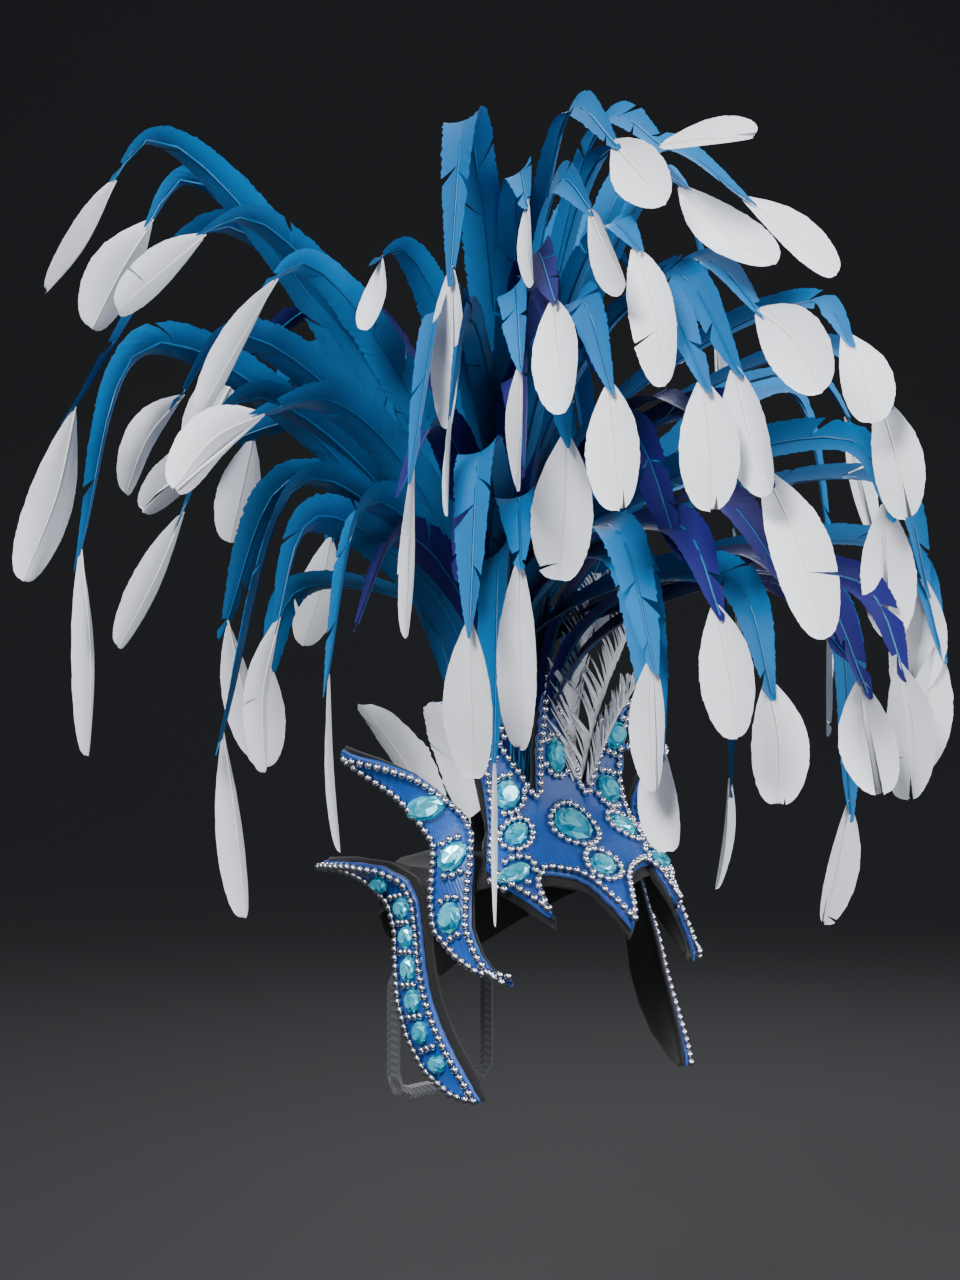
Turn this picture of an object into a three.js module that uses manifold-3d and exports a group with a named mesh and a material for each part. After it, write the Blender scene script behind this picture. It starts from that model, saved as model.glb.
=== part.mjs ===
// Showgirl feather headdress: a beaded satin crown on a felt skull cap, with a
// fountain of stripped feathers that end in white leaves.
// Millimetres, +Z up, the front faces -Y. The origin is the middle of the head
// opening, level with the brow arches. A turn is counted in degrees from the
// front towards the wearer's right side, which is -X.

import * as THREE from 'three';
import { mergeVertices } from 'three/addons/utils/BufferGeometryUtils.js';
import Module from 'manifold-3d';

const wasm = await Module();
wasm.setup();

// Crown
const SPIRE_RISE = 145; // spire tip above the brow arches
const BROW_REACH = 109; // forehead point in front of the head's middle
const CROWN_HALF_WIDTH = 91; // at the temples
const NAPE_REACH = 72; // back of the cap behind the head's middle
const LINING_THICKNESS = 2.4;
const PLATE_THICKNESS = 4; // padded satin over felt, in its middle
const PLATE_EDGE_THICKNESS = 2.4;
const LAYER_GAP = 0.3;
const KEEP_OUT = 0.3; // growth of a piece before its neighbours are cut by it
const CUT_TOLERANCE = 0.05; // slivers left along a cut are smoothed away
const LINING_SHOW = 4; // lining that shows past the satin along the face
const BEAD_DIAMETER = 5;
const BEAD_INSET = 2.2; // bead row's middle line inside the plate's edge
const BEAD_LIFT = 0.85; // glue under the bead rows and the settings

// Stones
const STONE_SIZE = 24; // the large oval's height
const GIRDLE_RISE = 3.4; // stone edge above the satin
const TABLE_RISE = 6;
const TABLE_SHARE = 0.55;
const STONE_FACETS = 8;
const SETTING_RIM = 1.2; // where a stone has no ring of beads

// Cap and nape loop
const CAP_THICKNESS = 2.2;
const CAP_CLEARANCE = 0.5; // cap to the linings, glue line
const CAP_SHOULDER = 6; // height where the wall turns into the dome
const CAP_TOP = 24;
const SOCKET_RADIUS = 31;
const SOCKET_RISE = 50; // flat top that carries the plumes
const SOCKET_DRAFT = 2;
const LOOP_DIAMETER = 9;
const LOOP_HALF_TURN = 30; // degrees each side of the back seam
const LOOP_TOP = -58;
const LOOP_HEIGHT = 84;

// Plumes
const PLUME_REACH = 290;
const PLUME_RISE = 480; // highest crest above the origin
const SECTORS = 6;
const QUILL_ROWS = [7, 13, 19]; // radii of the quills' rows in a bundle
const BUNDLE_HEIGHT = 12;
const BUNDLE_INSET = 0.6;
const BLADE_WIDTH = 26;
const LEAF_WIDTH = 34;
const QUILL_WIDTH = 3;
const BLADE_DEPTH = 3;

const COLOURS = {
  satin: 0x1969be,
  felt: 0x141416,
  cap: 0x17171a,
  loop: 0x46464e,
  bead: 0xc8c3cd,
  stone: 0x1eaac8,
  feather: 0x0c7db9,
};

// Plan of the crown by height. Heights are shares of SPIRE_RISE, reaches of
// BROW_REACH and CROWN_HALF_WIDTH; power squares the plan off at the temples.
const SECTIONS = [
  { height: -1.1, front: 0.92, side: 1.06, power: 3.0 },
  { height: -0.8, front: 0.96, side: 1.04, power: 3.0 },
  { height: -0.32, front: 0.99, side: 1.04, power: 3.0 },
  { height: -0.11, front: 1.0, side: 1.0, power: 2.7 },
  { height: 0.03, front: 0.85, side: 0.99, power: 2.5 },
  { height: 0.12, front: 0.73, side: 1.0, power: 2.4 },
  { height: 0.26, front: 0.5, side: 1.05, power: 2.3 },
  { height: 0.4, front: 0.4, side: 1.15, power: 2.2 },
  { height: 0.6, front: 0.34, side: 1.38, power: 2.1 },
  { height: 0.83, front: 0.29, side: 1.65, power: 2.0 },
  { height: 1.05, front: 0.25, side: 1.8, power: 2.0 },
];

// Ribs of the plates. A rib runs from one edge to the other; turns are degrees,
// heights are shares of SPIRE_RISE, flare is a share of BROW_REACH that stands
// the far end off the head.
const FRONT_RIBS = [
  { turnA: 0, heightA: -0.13, turnB: 0, heightB: 1.0 },
  { turnA: 5, heightA: -0.04, turnB: 9.5, heightB: 0.81 },
  { turnA: 10, heightA: 0.04, turnB: 15, heightB: 0.71 },
  { turnA: 15, heightA: 0.07, turnB: 21, heightB: 0.61 },
  { turnA: 20, heightA: 0.08, turnB: 24, heightB: 0.39 },
  { turnA: 25, heightA: 0.09, turnB: 31, heightB: 0.45 },
  { turnA: 31, heightA: 0.09, turnB: 38, heightB: 0.52 },
  { turnA: 27, heightA: -0.08, turnB: 42, heightB: 0.55 },
  { turnA: 37, heightA: 0.01, turnB: 48, heightB: 0.61 },
  { turnA: 44, heightA: 0.06, turnB: 54, heightB: 0.68 },
  { turnA: 49.5, heightA: 0.12, turnB: 60, heightB: 0.77 },
  { turnA: 52, heightA: 0.26, turnB: 66, heightB: 0.81 },
  { turnA: 59, heightA: 0.54, turnB: 71, heightB: 0.82 },
  { turnA: 67, heightA: 0.72, turnB: 73.5, heightB: 0.83 },
];
const SIDE_RIBS = [
  { turnA: 39.2, heightA: -0.31, turnB: 41.5, heightB: -0.29 },
  { turnA: 45, heightA: -0.26, turnB: 49, heightB: -0.29 },
  { turnA: 48.5, heightA: -0.2, turnB: 57, heightB: -0.23 },
  { turnA: 52, heightA: -0.1, turnB: 66, heightB: -0.13 },
  { turnA: 53, heightA: 0.01, turnB: 69, heightB: 0.0 },
  { turnA: 54, heightA: 0.14, turnB: 70, heightB: 0.165 },
  { turnA: 57, heightA: 0.25, turnB: 71.5, heightB: 0.22 },
  { turnA: 62.5, heightA: 0.35, turnB: 75, heightB: 0.28 },
  { turnA: 69, heightA: 0.43, turnB: 79, heightB: 0.36 },
  { turnA: 76, heightA: 0.53, turnB: 83, heightB: 0.46 },
  { turnA: 83, heightA: 0.6, turnB: 87.5, heightB: 0.55 },
  { turnA: 89.5, heightA: 0.65, turnB: 91, heightB: 0.63 },
];
const TEMPLE_RIBS = [
  { turnA: 48.5, heightA: -0.8, turnB: 51, heightB: -0.81, flare: 0 },
  { turnA: 52, heightA: -0.72, turnB: 58, heightB: -0.79, flare: 0 },
  { turnA: 57, heightA: -0.62, turnB: 69, heightB: -0.7, flare: 0 },
  { turnA: 62, heightA: -0.51, turnB: 77, heightB: -0.57, flare: 0 },
  { turnA: 66, heightA: -0.4, turnB: 82, heightB: -0.43, flare: 0 },
  { turnA: 69, heightA: -0.28, turnB: 83.5, heightB: -0.3, flare: 0 },
  { turnA: 72, heightA: -0.14, turnB: 86, heightB: -0.15, flare: 0 },
  { turnA: 75, heightA: -0.01, turnB: 91, heightB: -0.04, flare: 0 },
  { turnA: 79.5, heightA: 0.08, turnB: 98, heightB: 0.02, flare: 0.02 },
  { turnA: 88, heightA: 0.145, turnB: 105, heightB: 0.07, flare: 0.08 },
  { turnA: 99, heightA: 0.17, turnB: 110, heightB: 0.11, flare: 0.17 },
  { turnA: 111, heightA: 0.16, turnB: 113, heightB: 0.13, flare: 0.27 },
];

// Stones, each with its ring of beads. Widths and heights are shares of
// STONE_SIZE, lean turns the stone in the plate, in degrees.
const MIDDLE_STONES = [
  { name: 'spire_stone', turn: 0, height: 0.58, width: 0.62, tall: 0.88, lean: 0 },
  { name: 'crest_stone', lift: 0.4, turn: 0, height: 0.27, width: 1.15, tall: 0.95, lean: 0 },
  { name: 'brow_stone', turn: 0, height: 0.1, width: 0.8, tall: 0.44, lean: 0 },
];
const PANEL_STONES = [
  { name: 'peak_stone', ringed: false, turn: 58.5, height: 0.66, width: 0.56, tall: 0.82, lean: 20 },
  { name: 'panel_stone', lift: 0.4, turn: 46, height: 0.42, width: 0.64, tall: 0.82, lean: 10 },
  { name: 'round_stone', lift: 0.4, turn: 39, height: 0.24, width: 0.6, tall: 0.6, lean: 0 },
  { name: 'hook_stone', ringed: false, turn: 39.5, height: 0.09, width: 0.82, tall: 0.42, lean: 15 },
];
const SIDE_STONES = [
  { name: 'horn_stone', ringed: false, turn: 74.5, height: 0.39, width: 0.7, tall: 0.7, lean: 30 },
  { name: 'side_stone', ringed: false, turn: 62.5, height: 0.17, width: 0.64, tall: 0.66, lean: 0 },
  { name: 'low_stone', ringed: false, turn: 59.5, height: -0.07, width: 0.62, tall: 0.78, lean: 0 },
];
const TEMPLE_STONES = [
  { turn: 92, height: 0.055, width: 0.52, tall: 0.54, flare: 0.04 },
  { turn: 82, height: -0.045, width: 0.48, tall: 0.56 },
  { turn: 78, height: -0.165, width: 0.46, tall: 0.62 },
  { turn: 75.5, height: -0.29, width: 0.46, tall: 0.62 },
  { turn: 73, height: -0.415, width: 0.46, tall: 0.62 },
  { turn: 69.5, height: -0.54, width: 0.46, tall: 0.6 },
  { turn: 62.5, height: -0.66, width: 0.46, tall: 0.5 },
];

// Rim of the cap by turn, as shares of SPIRE_RISE, hidden behind the plates in
// front and low at the nape, where it carries the loop.
const CAP_RIM = [
  { turn: 0, height: 0.1 },
  { turn: 30, height: 0.12 },
  { turn: 60, height: 0.02 },
  { turn: 90, height: -0.01 },
  { turn: 130, height: -0.2 },
  { turn: 180, height: -0.46 },
];

// Feathers on the wearer's right and front. Crest, tip and leaf are the top of
// the arc, the end of the blue blade and the end of the white leaf; reaches are
// shares of PLUME_REACH, rises of PLUME_RISE. Spread is how far the stem leans
// out on its way up, roll turns the blade in degrees.
const FEATHERS = [
  { turn: 93, crest: [0.86, 0.93], tip: [0.98, 0.85], leaf: [1.1, 0.73], spread: 0.42, roll: 40 },
  { turn: 102, crest: [0.66, 0.85], tip: [1.0, 0.59], leaf: [1.08, 0.4], spread: 0.3, roll: 35 },
  { turn: 88, crest: [0.68, 0.84], tip: [0.84, 0.8], leaf: [1.0, 0.71], spread: 0.36, roll: 30 },
  { turn: 84, crest: [0.62, 0.79], tip: [0.74, 0.75], leaf: [0.9, 0.59], spread: 0.36, roll: 50 },
  { turn: 98, crest: [0.86, 0.69], tip: [1.02, 0.41], leaf: [0.99, 0.19], spread: 0.36, roll: 35 },
  { turn: 90, crest: [0.74, 0.7], tip: [0.9, 0.6], leaf: [1.0, 0.5], spread: 0.34, roll: 45 },
  { turn: 95, crest: [0.68, 0.63], tip: [0.85, 0.46], leaf: [0.97, 0.32], spread: 0.34, roll: 30 },
  { turn: 80, crest: [0.54, 0.62], tip: [0.79, 0.59], leaf: [0.98, 0.5], spread: 0.3, roll: 40 },
  { turn: 90, crest: [0.55, 0.53], tip: [0.77, 0.19], leaf: [0.7, -0.01], spread: 0.3, roll: 30 },
  { turn: 78, crest: [0.48, 0.5], tip: [0.62, 0.26], leaf: [0.57, 0.07], spread: 0.28, roll: 40 },
  { turn: 76, crest: [0.4, 0.82], tip: [0.52, 0.79], leaf: [0.53, 0.71], spread: 0.28, roll: 30 },
  { turn: 53, crest: [0.42, 0.97], tip: [0.56, 0.75], leaf: [0.56, 0.58], spread: 0.25, roll: 20 },
  { turn: 57, crest: [0.45, 0.74], tip: [0.68, 0.51], leaf: [0.7, 0.33], spread: 0.12, roll: 45 },
  { turn: 50, crest: [0.5, 0.72], tip: [0.74, 0.58], leaf: [0.75, 0.47], spread: 0.12, roll: 60 },
  { turn: 46, crest: [0.58, 0.55], tip: [0.78, 0.33], leaf: [0.68, 0.17], spread: 0.08, roll: 30 },
  { turn: 44, crest: [0.34, 0.44], tip: [0.5, 0.18], leaf: [0.46, -0.02], spread: 0.04, roll: 50 },
  { turn: 36, crest: [0.5, 0.5], tip: [0.64, 0.41], leaf: [0.6, 0.2], spread: 0.08, roll: 25 },
  { turn: 31, crest: [0.52, 0.66], tip: [0.68, 0.55], leaf: [0.58, 0.4], spread: 0.12, roll: 40 },
  { turn: 20, crest: [0.38, 0.99], tip: [0.64, 0.91], leaf: [0.85, 0.82], spread: 0.25, roll: 35 },
  { turn: 9, crest: [0.36, 0.94], tip: [0.66, 0.86], leaf: [0.92, 0.75], spread: 0.22, roll: 30 },
  { turn: 22, crest: [0.6, 0.82], tip: [0.79, 0.77], leaf: [0.9, 0.61], spread: 0.25, roll: 40 },
  { turn: 34, crest: [0.45, 0.8], tip: [0.78, 0.71], leaf: [0.9, 0.58], spread: 0.2, roll: 30 },
  { turn: 8, crest: [0.68, 0.78], tip: [0.9, 0.69], leaf: [1.05, 0.6], spread: 0.12, roll: 35 },
  { turn: 18, crest: [0.72, 0.73], tip: [0.95, 0.6], leaf: [0.95, 0.47], spread: 0.12, roll: 25 },
  { turn: -5, crest: [0.83, 0.73], tip: [0.92, 0.67], leaf: [0.96, 0.58], spread: 0.12, roll: 40 },
  { turn: -10, crest: [0.8, 0.68], tip: [0.93, 0.6], leaf: [1.08, 0.47], spread: 0.12, roll: 30 },
  { turn: -14, crest: [0.86, 0.57], tip: [0.95, 0.47], leaf: [0.99, 0.33], spread: 0.08, roll: 55 },
  { turn: -19, crest: [0.88, 0.52], tip: [0.97, 0.38], leaf: [1.0, 0.26], spread: 0.08, roll: 35 },
  { turn: 28, crest: [0.62, 0.73], tip: [0.88, 0.6], leaf: [0.92, 0.47], spread: 0.12, roll: 35 },
  { turn: 15, crest: [0.78, 0.46], tip: [0.93, 0.35], leaf: [0.98, 0.22], spread: 0.04, roll: 40 },
  { turn: -6, crest: [0.82, 0.4], tip: [0.97, 0.26], leaf: [1.0, 0.15], spread: 0.04, roll: 30 },
  { turn: -12, crest: [0.86, 0.4], tip: [0.97, 0.28], leaf: [0.97, 0.14], spread: 0.04, roll: 50 },
  { turn: -19, crest: [0.88, 0.44], tip: [0.98, 0.3], leaf: [1.0, 0.17], spread: 0.04, roll: 40 },
  { turn: -25, crest: [0.72, 0.4], tip: [0.8, 0.1], leaf: [0.74, -0.03], spread: 0.04, roll: 30 },
  { turn: 22, crest: [0.64, 0.46], tip: [0.85, 0.29], leaf: [0.84, 0.16], spread: 0.04, roll: 25 },
  { turn: 6, crest: [0.78, 0.4], tip: [0.9, 0.26], leaf: [0.91, 0.14], spread: 0.04, roll: 35 },
];
// Behind the head the fountain goes on with feathers shaped like the rows above,
// evenly turned and drawn in a little.
const HIDDEN_FROM = 112;
const HIDDEN_TO = 322;
const HIDDEN_COUNT = 20;
const HIDDEN_STRIDE = 7; // rows from one hidden feather's model to the next
const HIDDEN_REACH = 0.85;

const toRadians = THREE.MathUtils.degToRad;

function material(colour, roughness, metalness) {
  return new THREE.MeshStandardMaterial({ color: colour, roughness, metalness });
}

function direction(turn) {
  const angle = toRadians(turn);
  return new THREE.Vector3(-Math.sin(angle), -Math.cos(angle), 0);
}

// Value of one column at a place along another, eased between the rows.
function along(rows, key, place, column) {
  let k = 0;
  while (k < rows.length - 2 && place > rows[k + 1][key]) k += 1;
  const [a, b] = [rows[k], rows[k + 1]];
  const before = rows[Math.max(k - 1, 0)];
  const after = rows[Math.min(k + 2, rows.length - 1)];
  const span = b[key] - a[key];
  const t = THREE.MathUtils.clamp((place - a[key]) / span, 0, 1);
  const slopeA = ((b[column] - before[column]) / (b[key] - before[key])) * span;
  const slopeB = ((after[column] - a[column]) / (after[key] - a[key])) * span;
  const rise = b[column] - a[column];
  const bend = 3 * rise - 2 * slopeA - slopeB;
  const twist = slopeA + slopeB - 2 * rise;
  return a[column] + t * (slopeA + t * (bend + t * twist));
}

function planPoint(turn, height) {
  const share = height / SPIRE_RISE;
  const angle = toRadians(turn);
  const facing = Math.cos(angle) > 0;
  const front = along(SECTIONS, 'height', share, 'front') * BROW_REACH;
  const side = along(SECTIONS, 'height', share, 'side') * CROWN_HALF_WIDTH;
  const power = facing ? along(SECTIONS, 'height', share, 'power') : 2;
  const depth = facing ? front : NAPE_REACH;
  const across = Math.abs(Math.sin(angle)) / side;
  const ahead = Math.abs(Math.cos(angle)) / depth;
  const reach = (across ** power + ahead ** power) ** (-1 / power);
  return direction(turn).multiplyScalar(reach).setZ(height);
}

// Point of the crown at a turn and height, stood off the head by an offset.
function crownPoint(turn, height, offset) {
  const step = 0.5;
  const aroundStep = planPoint(turn + step, height).sub(planPoint(turn - step, height));
  const upStep = planPoint(turn, height + step).sub(planPoint(turn, height - step));
  const normal = upStep.cross(aroundStep).normalize();
  if (normal.dot(direction(turn)) < 0) normal.negate();
  return planPoint(turn, height).addScaledVector(normal, offset);
}

function closedMesh(positions, triangles) {
  const geometry = new THREE.BufferGeometry();
  geometry.setAttribute('position', new THREE.Float32BufferAttribute(positions, 3));
  geometry.setIndex(triangles);
  return geometry;
}

// Closed skin over a stack of rings with the same number of points each; an end
// is capped by a fan, or joined to the other end when the stack is a loop. From
// turnedAt on, the quads are split along their other diagonal.
function skinRings(rings, looped = false, turnedAt = Infinity) {
  const count = rings[0].length;
  const positions = rings.flat().flatMap((p) => [p.x, p.y, p.z]);
  const triangles = [];
  const steps = looped ? rings.length : rings.length - 1;
  for (let i = 0; i < steps; i += 1) {
    const [low, high] = [i * count, ((i + 1) % rings.length) * count];
    for (let j = 0; j < count; j += 1) {
      const k = (j + 1) % count;
      if (j < turnedAt) {
        triangles.push(low + j, low + k, high + k, low + j, high + k, high + j);
      } else {
        triangles.push(low + j, low + k, high + j, low + k, high + k, high + j);
      }
    }
  }
  if (!looped) {
    const last = (rings.length - 1) * count;
    for (let j = 1; j < count - 1; j += 1) {
      triangles.push(0, j + 1, j, last, last + j, last + j + 1);
    }
  }
  return outward(closedMesh(positions, triangles));
}

function signedVolume(geometry) {
  const p = geometry.getAttribute('position');
  const index = geometry.getIndex().array;
  const corner = [0, 1, 2].map(() => new THREE.Vector3());
  let volume = 0;
  for (let i = 0; i < index.length; i += 3) {
    corner.forEach((v, k) => v.fromBufferAttribute(p, index[i + k]));
    volume += corner[0].dot(corner[1].cross(corner[2])) / 6;
  }
  return volume;
}

function outward(geometry) {
  if (signedVolume(geometry) < 0) geometry.setIndex([...geometry.getIndex().array].reverse());
  return geometry;
}

function toSolid(geometry) {
  const bare = geometry.clone();
  bare.deleteAttribute('normal');
  bare.deleteAttribute('uv');
  const merged = mergeVertices(bare, 1e-4);
  return new wasm.Manifold(new wasm.Mesh({
    numProp: 3,
    vertProperties: new Float32Array(merged.getAttribute('position').array),
    triVerts: new Uint32Array(merged.getIndex().array),
  }));
}

// What is left of a piece once its neighbours' grown forms are cut away.
function carve(geometry, keepOuts) {
  const cut = keepOuts.map(toSolid).reduce((rest, solid) => rest.subtract(solid), toSolid(geometry));
  return largestShell(cut);
}

function largestShell(solid) {
  const shells = solid.simplify(CUT_TOLERANCE).decompose()
    .sort((a, b) => b.volume() - a.volume());
  const mesh = shells[0].getMesh();
  return closedMesh(Array.from(mesh.vertProperties), Array.from(mesh.triVerts));
}

function fuse(geometries) {
  const joined = geometries.map(toSolid).reduce((sum, solid) => sum.add(solid));
  // Crossing feathers can shut off small voids; the outer skin alone is kept.
  return largestShell(joined);
}

// A rib's point, from edge A at 0 to edge B at 1, with an overhang in mm past A.
function ribPoint(rib, share, offset, overhang = 0) {
  const turnMm = toRadians(1) * CROWN_HALF_WIDTH;
  const length = Math.hypot(
    (rib.turnB - rib.turnA) * turnMm,
    (rib.heightB - rib.heightA) * SPIRE_RISE,
  );
  const s = share > 0 ? share : -overhang / Math.max(length, 3 * overhang + 1);
  const turn = THREE.MathUtils.lerp(rib.turnA, rib.turnB, s);
  const height = THREE.MathUtils.lerp(rib.heightA, rib.heightB, s) * SPIRE_RISE;
  const flare = (rib.flare ?? 0) * BROW_REACH;
  return crownPoint(turn, height, offset + flare);
}

// Wall over a row of ribs, between two offsets; edgeOffset is the outer offset
// along its edges, so that a padded plate rounds down to them.
function ribbedWall(ribs, inner, outer, edgeOffset, rows, overhang) {
  const shares = Array.from({ length: rows + 1 }, (_, k) => k / rows);
  const rings = ribs.map((rib, i) => {
    const onEnd = i === 0 || i === ribs.length - 1;
    const bottom = shares.map((s) => ribPoint(rib, s, inner, overhang));
    const top = shares.map((s) => {
      const onEdge = onEnd || s === 0 || s === 1;
      return ribPoint(rib, s, onEdge ? edgeOffset : outer, overhang);
    });
    return [...bottom, ...top.reverse()];
  });
  return skinRingsCapped(rings);
}

// As skinRings, but an end is capped by quads between its two faces.
function skinRingsCapped(rings) {
  const count = rings[0].length;
  const geometry = skinRings(rings, false, count / 2);
  const index = [...geometry.getIndex().array];
  const body = index.length - 6 * (count - 2);
  const flipped = index[0] !== 0;
  const walls = flipped ? index.slice(index.length - body) : index.slice(0, body);
  const last = (rings.length - 1) * count;
  const caps = [];
  for (let j = 0; j < count / 2 - 1; j += 1) {
    const [a, b, c, d] = [j, j + 1, count - 2 - j, count - 1 - j];
    caps.push(a, c, b, a, d, c);
    caps.push(last + a, last + b, last + c, last + a, last + c, last + d);
  }
  const capList = flipped ? caps.reverse() : caps;
  geometry.setIndex([...capList, ...walls]);
  return geometry;
}

function mirrored(ribs) {
  return ribs.map((rib) => ({ ...rib, turnA: -rib.turnA, turnB: -rib.turnB }));
}

const plateInner = LINING_THICKNESS + LAYER_GAP;
const plateOuter = plateInner + PLATE_THICKNESS;
const plateEdge = plateInner + PLATE_EDGE_THICKNESS;

function plate(ribs, rows) {
  return ribbedWall(ribs, plateInner, plateOuter, plateEdge, rows, 0);
}

function plateKeepOut(ribs, rows) {
  return ribbedWall(
    ribs, plateInner - KEEP_OUT, plateOuter + KEEP_OUT, plateEdge + KEEP_OUT, rows, KEEP_OUT,
  );
}

function lining(ribs, rows, overhang) {
  return ribbedWall(ribs, 0, LINING_THICKNESS, LINING_THICKNESS, rows, overhang);
}

// Outline of a plate as turn, height in mm and flare, edge A out, edge B back.
function outline(ribs) {
  const edgeA = ribs.map((r) => ({ turn: r.turnA, height: r.heightA, flare: r.flare ?? 0 }));
  const edgeB = ribs.map((r) => ({ turn: r.turnB, height: r.heightB, flare: r.flare ?? 0 }));
  return [...edgeA, ...edgeB.reverse()].map((p) => ({
    x: p.turn * toRadians(1) * CROWN_HALF_WIDTH,
    y: p.height * SPIRE_RISE,
    flare: p.flare * BROW_REACH,
  }));
}

// Closed row inside an outline. A sharp point becomes two points a bead apart.
function insetRow(points, inset) {
  const turning = THREE.ShapeUtils.area(points.map((p) => new THREE.Vector2(p.x, p.y)));
  const side = Math.sign(turning);
  const rowPoints = [];
  points.forEach((p, i) => {
    const before = points[(i + points.length - 1) % points.length];
    const after = points[(i + 1) % points.length];
    const inward = new THREE.Vector2(p.x - before.x, p.y - before.y).normalize();
    const onward = new THREE.Vector2(after.x - p.x, after.y - p.y).normalize();
    const normalIn = new THREE.Vector2(-inward.y, inward.x).multiplyScalar(side);
    const normalOn = new THREE.Vector2(-onward.y, onward.x).multiplyScalar(side);
    const cosine = inward.dot(onward);
    if (cosine > -0.2) {
      const middle = normalIn.add(normalOn).normalize();
      const miter = inset / Math.max(Math.sqrt((1 + cosine) / 2), 0.6);
      rowPoints.push({ x: p.x + middle.x * miter, y: p.y + middle.y * miter, flare: p.flare });
    } else {
      const back = BEAD_DIAMETER * 0.9;
      rowPoints.push({
        x: p.x - inward.x * back + normalIn.x * inset,
        y: p.y - inward.y * back + normalIn.y * inset,
        flare: p.flare,
      }, {
        x: p.x + onward.x * back + normalOn.x * inset,
        y: p.y + onward.y * back + normalOn.y * inset,
        flare: p.flare,
      });
    }
  });
  return rowPoints;
}

const beadOffset = plateOuter + BEAD_LIFT + BEAD_DIAMETER / 2;

function onCrown(point, offset) {
  const turn = point.x / (toRadians(1) * CROWN_HALF_WIDTH);
  return crownPoint(turn, point.y, offset + point.flare);
}

const TRIM_SIDES = 4;

function trimRing(centre, sideways, outwards, width, margin, reach) {
  const radius = BEAD_DIAMETER / 2 + margin;
  return Array.from({ length: TRIM_SIDES }, (_, k) => {
    const angle = ((k + 0.5) / TRIM_SIDES) * 2 * Math.PI;
    return centre.clone()
      .addScaledVector(sideways, Math.cos(angle) * radius * width)
      .addScaledVector(outwards, Math.sin(angle) * radius + (angle < Math.PI ? reach : 0));
  });
}

// Bead row along a plate's edges, or its keep-out: grown by a margin and
// standing further off the plate by a reach, so that what it cuts has no tunnel.
// A row that runs into itself at its plate's sharp tips is fused link by link.
function beadRow(ribs, linked, margin = 0, reach = 0) {
  const row = insetRow(outline(ribs), BEAD_INSET);
  const places = row.map((p) => onCrown(p, beadOffset));
  const rings = places.map((p, i) => {
    const before = places[(i + places.length - 1) % places.length];
    const after = places[(i + 1) % places.length];
    const comingIn = p.clone().sub(before).normalize();
    const goingOn = after.clone().sub(p).normalize();
    const outwards = onCrown(row[i], beadOffset + 1).sub(p).normalize();
    const travel = comingIn.clone().add(goingOn).normalize();
    const sideways = travel.clone().cross(outwards).normalize();
    const miter = 1 / Math.max(travel.dot(goingOn), 0.75);
    return trimRing(p, sideways, outwards, miter, margin, reach);
  });
  if (!linked) return skinRings(rings, true);
  return fuse(rings.map((ring, i) => skinRings([ring, rings[(i + 1) % rings.length]])));
}

// Cut stone with its ring of beads, laid on the plate. Its outline runs through
// the crown's own curve, so the setting follows the plate.
function stoneSetting(stone) {
  const ring = stone.ringed === false ? SETTING_RIM : BEAD_DIAMETER;
  const halfWidth = (stone.width * STONE_SIZE) / 2;
  const halfTall = (stone.tall * STONE_SIZE) / 2;
  const base = plateOuter + BEAD_LIFT + (stone.lift ?? 0) + (stone.flare ?? 0) * BROW_REACH;
  const middle = planPoint(stone.turn, stone.height * SPIRE_RISE);
  const turnMm = toRadians(1) * Math.hypot(middle.x, middle.y);
  const lean = toRadians(stone.lean ?? 0);
  const layers = [
    { grow: ring, share: 1, lift: 0 },
    { grow: ring * 0.8, share: 1, lift: BEAD_DIAMETER * 0.7 },
    { grow: 0, share: 1, lift: GIRDLE_RISE },
    { grow: 0, share: TABLE_SHARE, lift: TABLE_RISE },
  ];
  const rings = layers.map((layer) => Array.from({ length: STONE_FACETS }, (_, k) => {
    const angle = ((k + 0.5) / STONE_FACETS) * 2 * Math.PI;
    const across = Math.cos(angle) * (halfWidth + layer.grow) * layer.share;
    const up = Math.sin(angle) * (halfTall + layer.grow) * layer.share;
    const turn = stone.turn + (across * Math.cos(lean) + up * Math.sin(lean)) / turnMm;
    const height = stone.height * SPIRE_RISE + up * Math.cos(lean) - across * Math.sin(lean);
    return crownPoint(turn, height, base + layer.lift);
  }));
  return skinRings(rings);
}

function skullCap() {
  const columns = 16;
  const domeSteps = [0, 35, 65, 90];
  const column = (turn, inset) => {
    const reflected = turn > 180 ? 360 - turn : turn;
    const rim = along(CAP_RIM, 'turn', reflected, 'height') * SPIRE_RISE;
    const shoulder = Math.max(rim, CAP_SHOULDER) + 2;
    const offset = -CAP_CLEARANCE - inset;
    const wall = [0, 0.5].map((s) => {
      return crownPoint(turn, THREE.MathUtils.lerp(rim, shoulder, s), offset);
    });
    const edge = crownPoint(turn, shoulder, offset);
    const reach = Math.hypot(edge.x, edge.y);
    const socket = SOCKET_RADIUS - inset;
    const dome = domeSteps.map((angle) => {
      const radius = socket + (reach - socket) * Math.cos(toRadians(angle));
      const height = edge.z + (CAP_TOP - inset - edge.z) * Math.sin(toRadians(angle));
      return direction(turn).multiplyScalar(radius).setZ(height);
    });
    return [...wall, ...dome];
  };
  const turns = Array.from({ length: columns }, (_, k) => (k * 360) / columns);
  const outer = turns.map((turn) => [
    ...column(turn, 0),
    direction(turn).multiplyScalar(SOCKET_RADIUS - SOCKET_DRAFT).setZ(SOCKET_RISE),
  ]);
  const inner = turns.map((turn) => column(turn, CAP_THICKNESS));
  const count = outer[0].length;
  const rings = [];
  for (let k = inner[0].length - 1; k >= 0; k -= 1) rings.push(inner.map((c) => c[k]));
  for (let k = 0; k < count; k += 1) rings.push(outer.map((c) => c[k]));
  return skinRings(rings);
}

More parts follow.
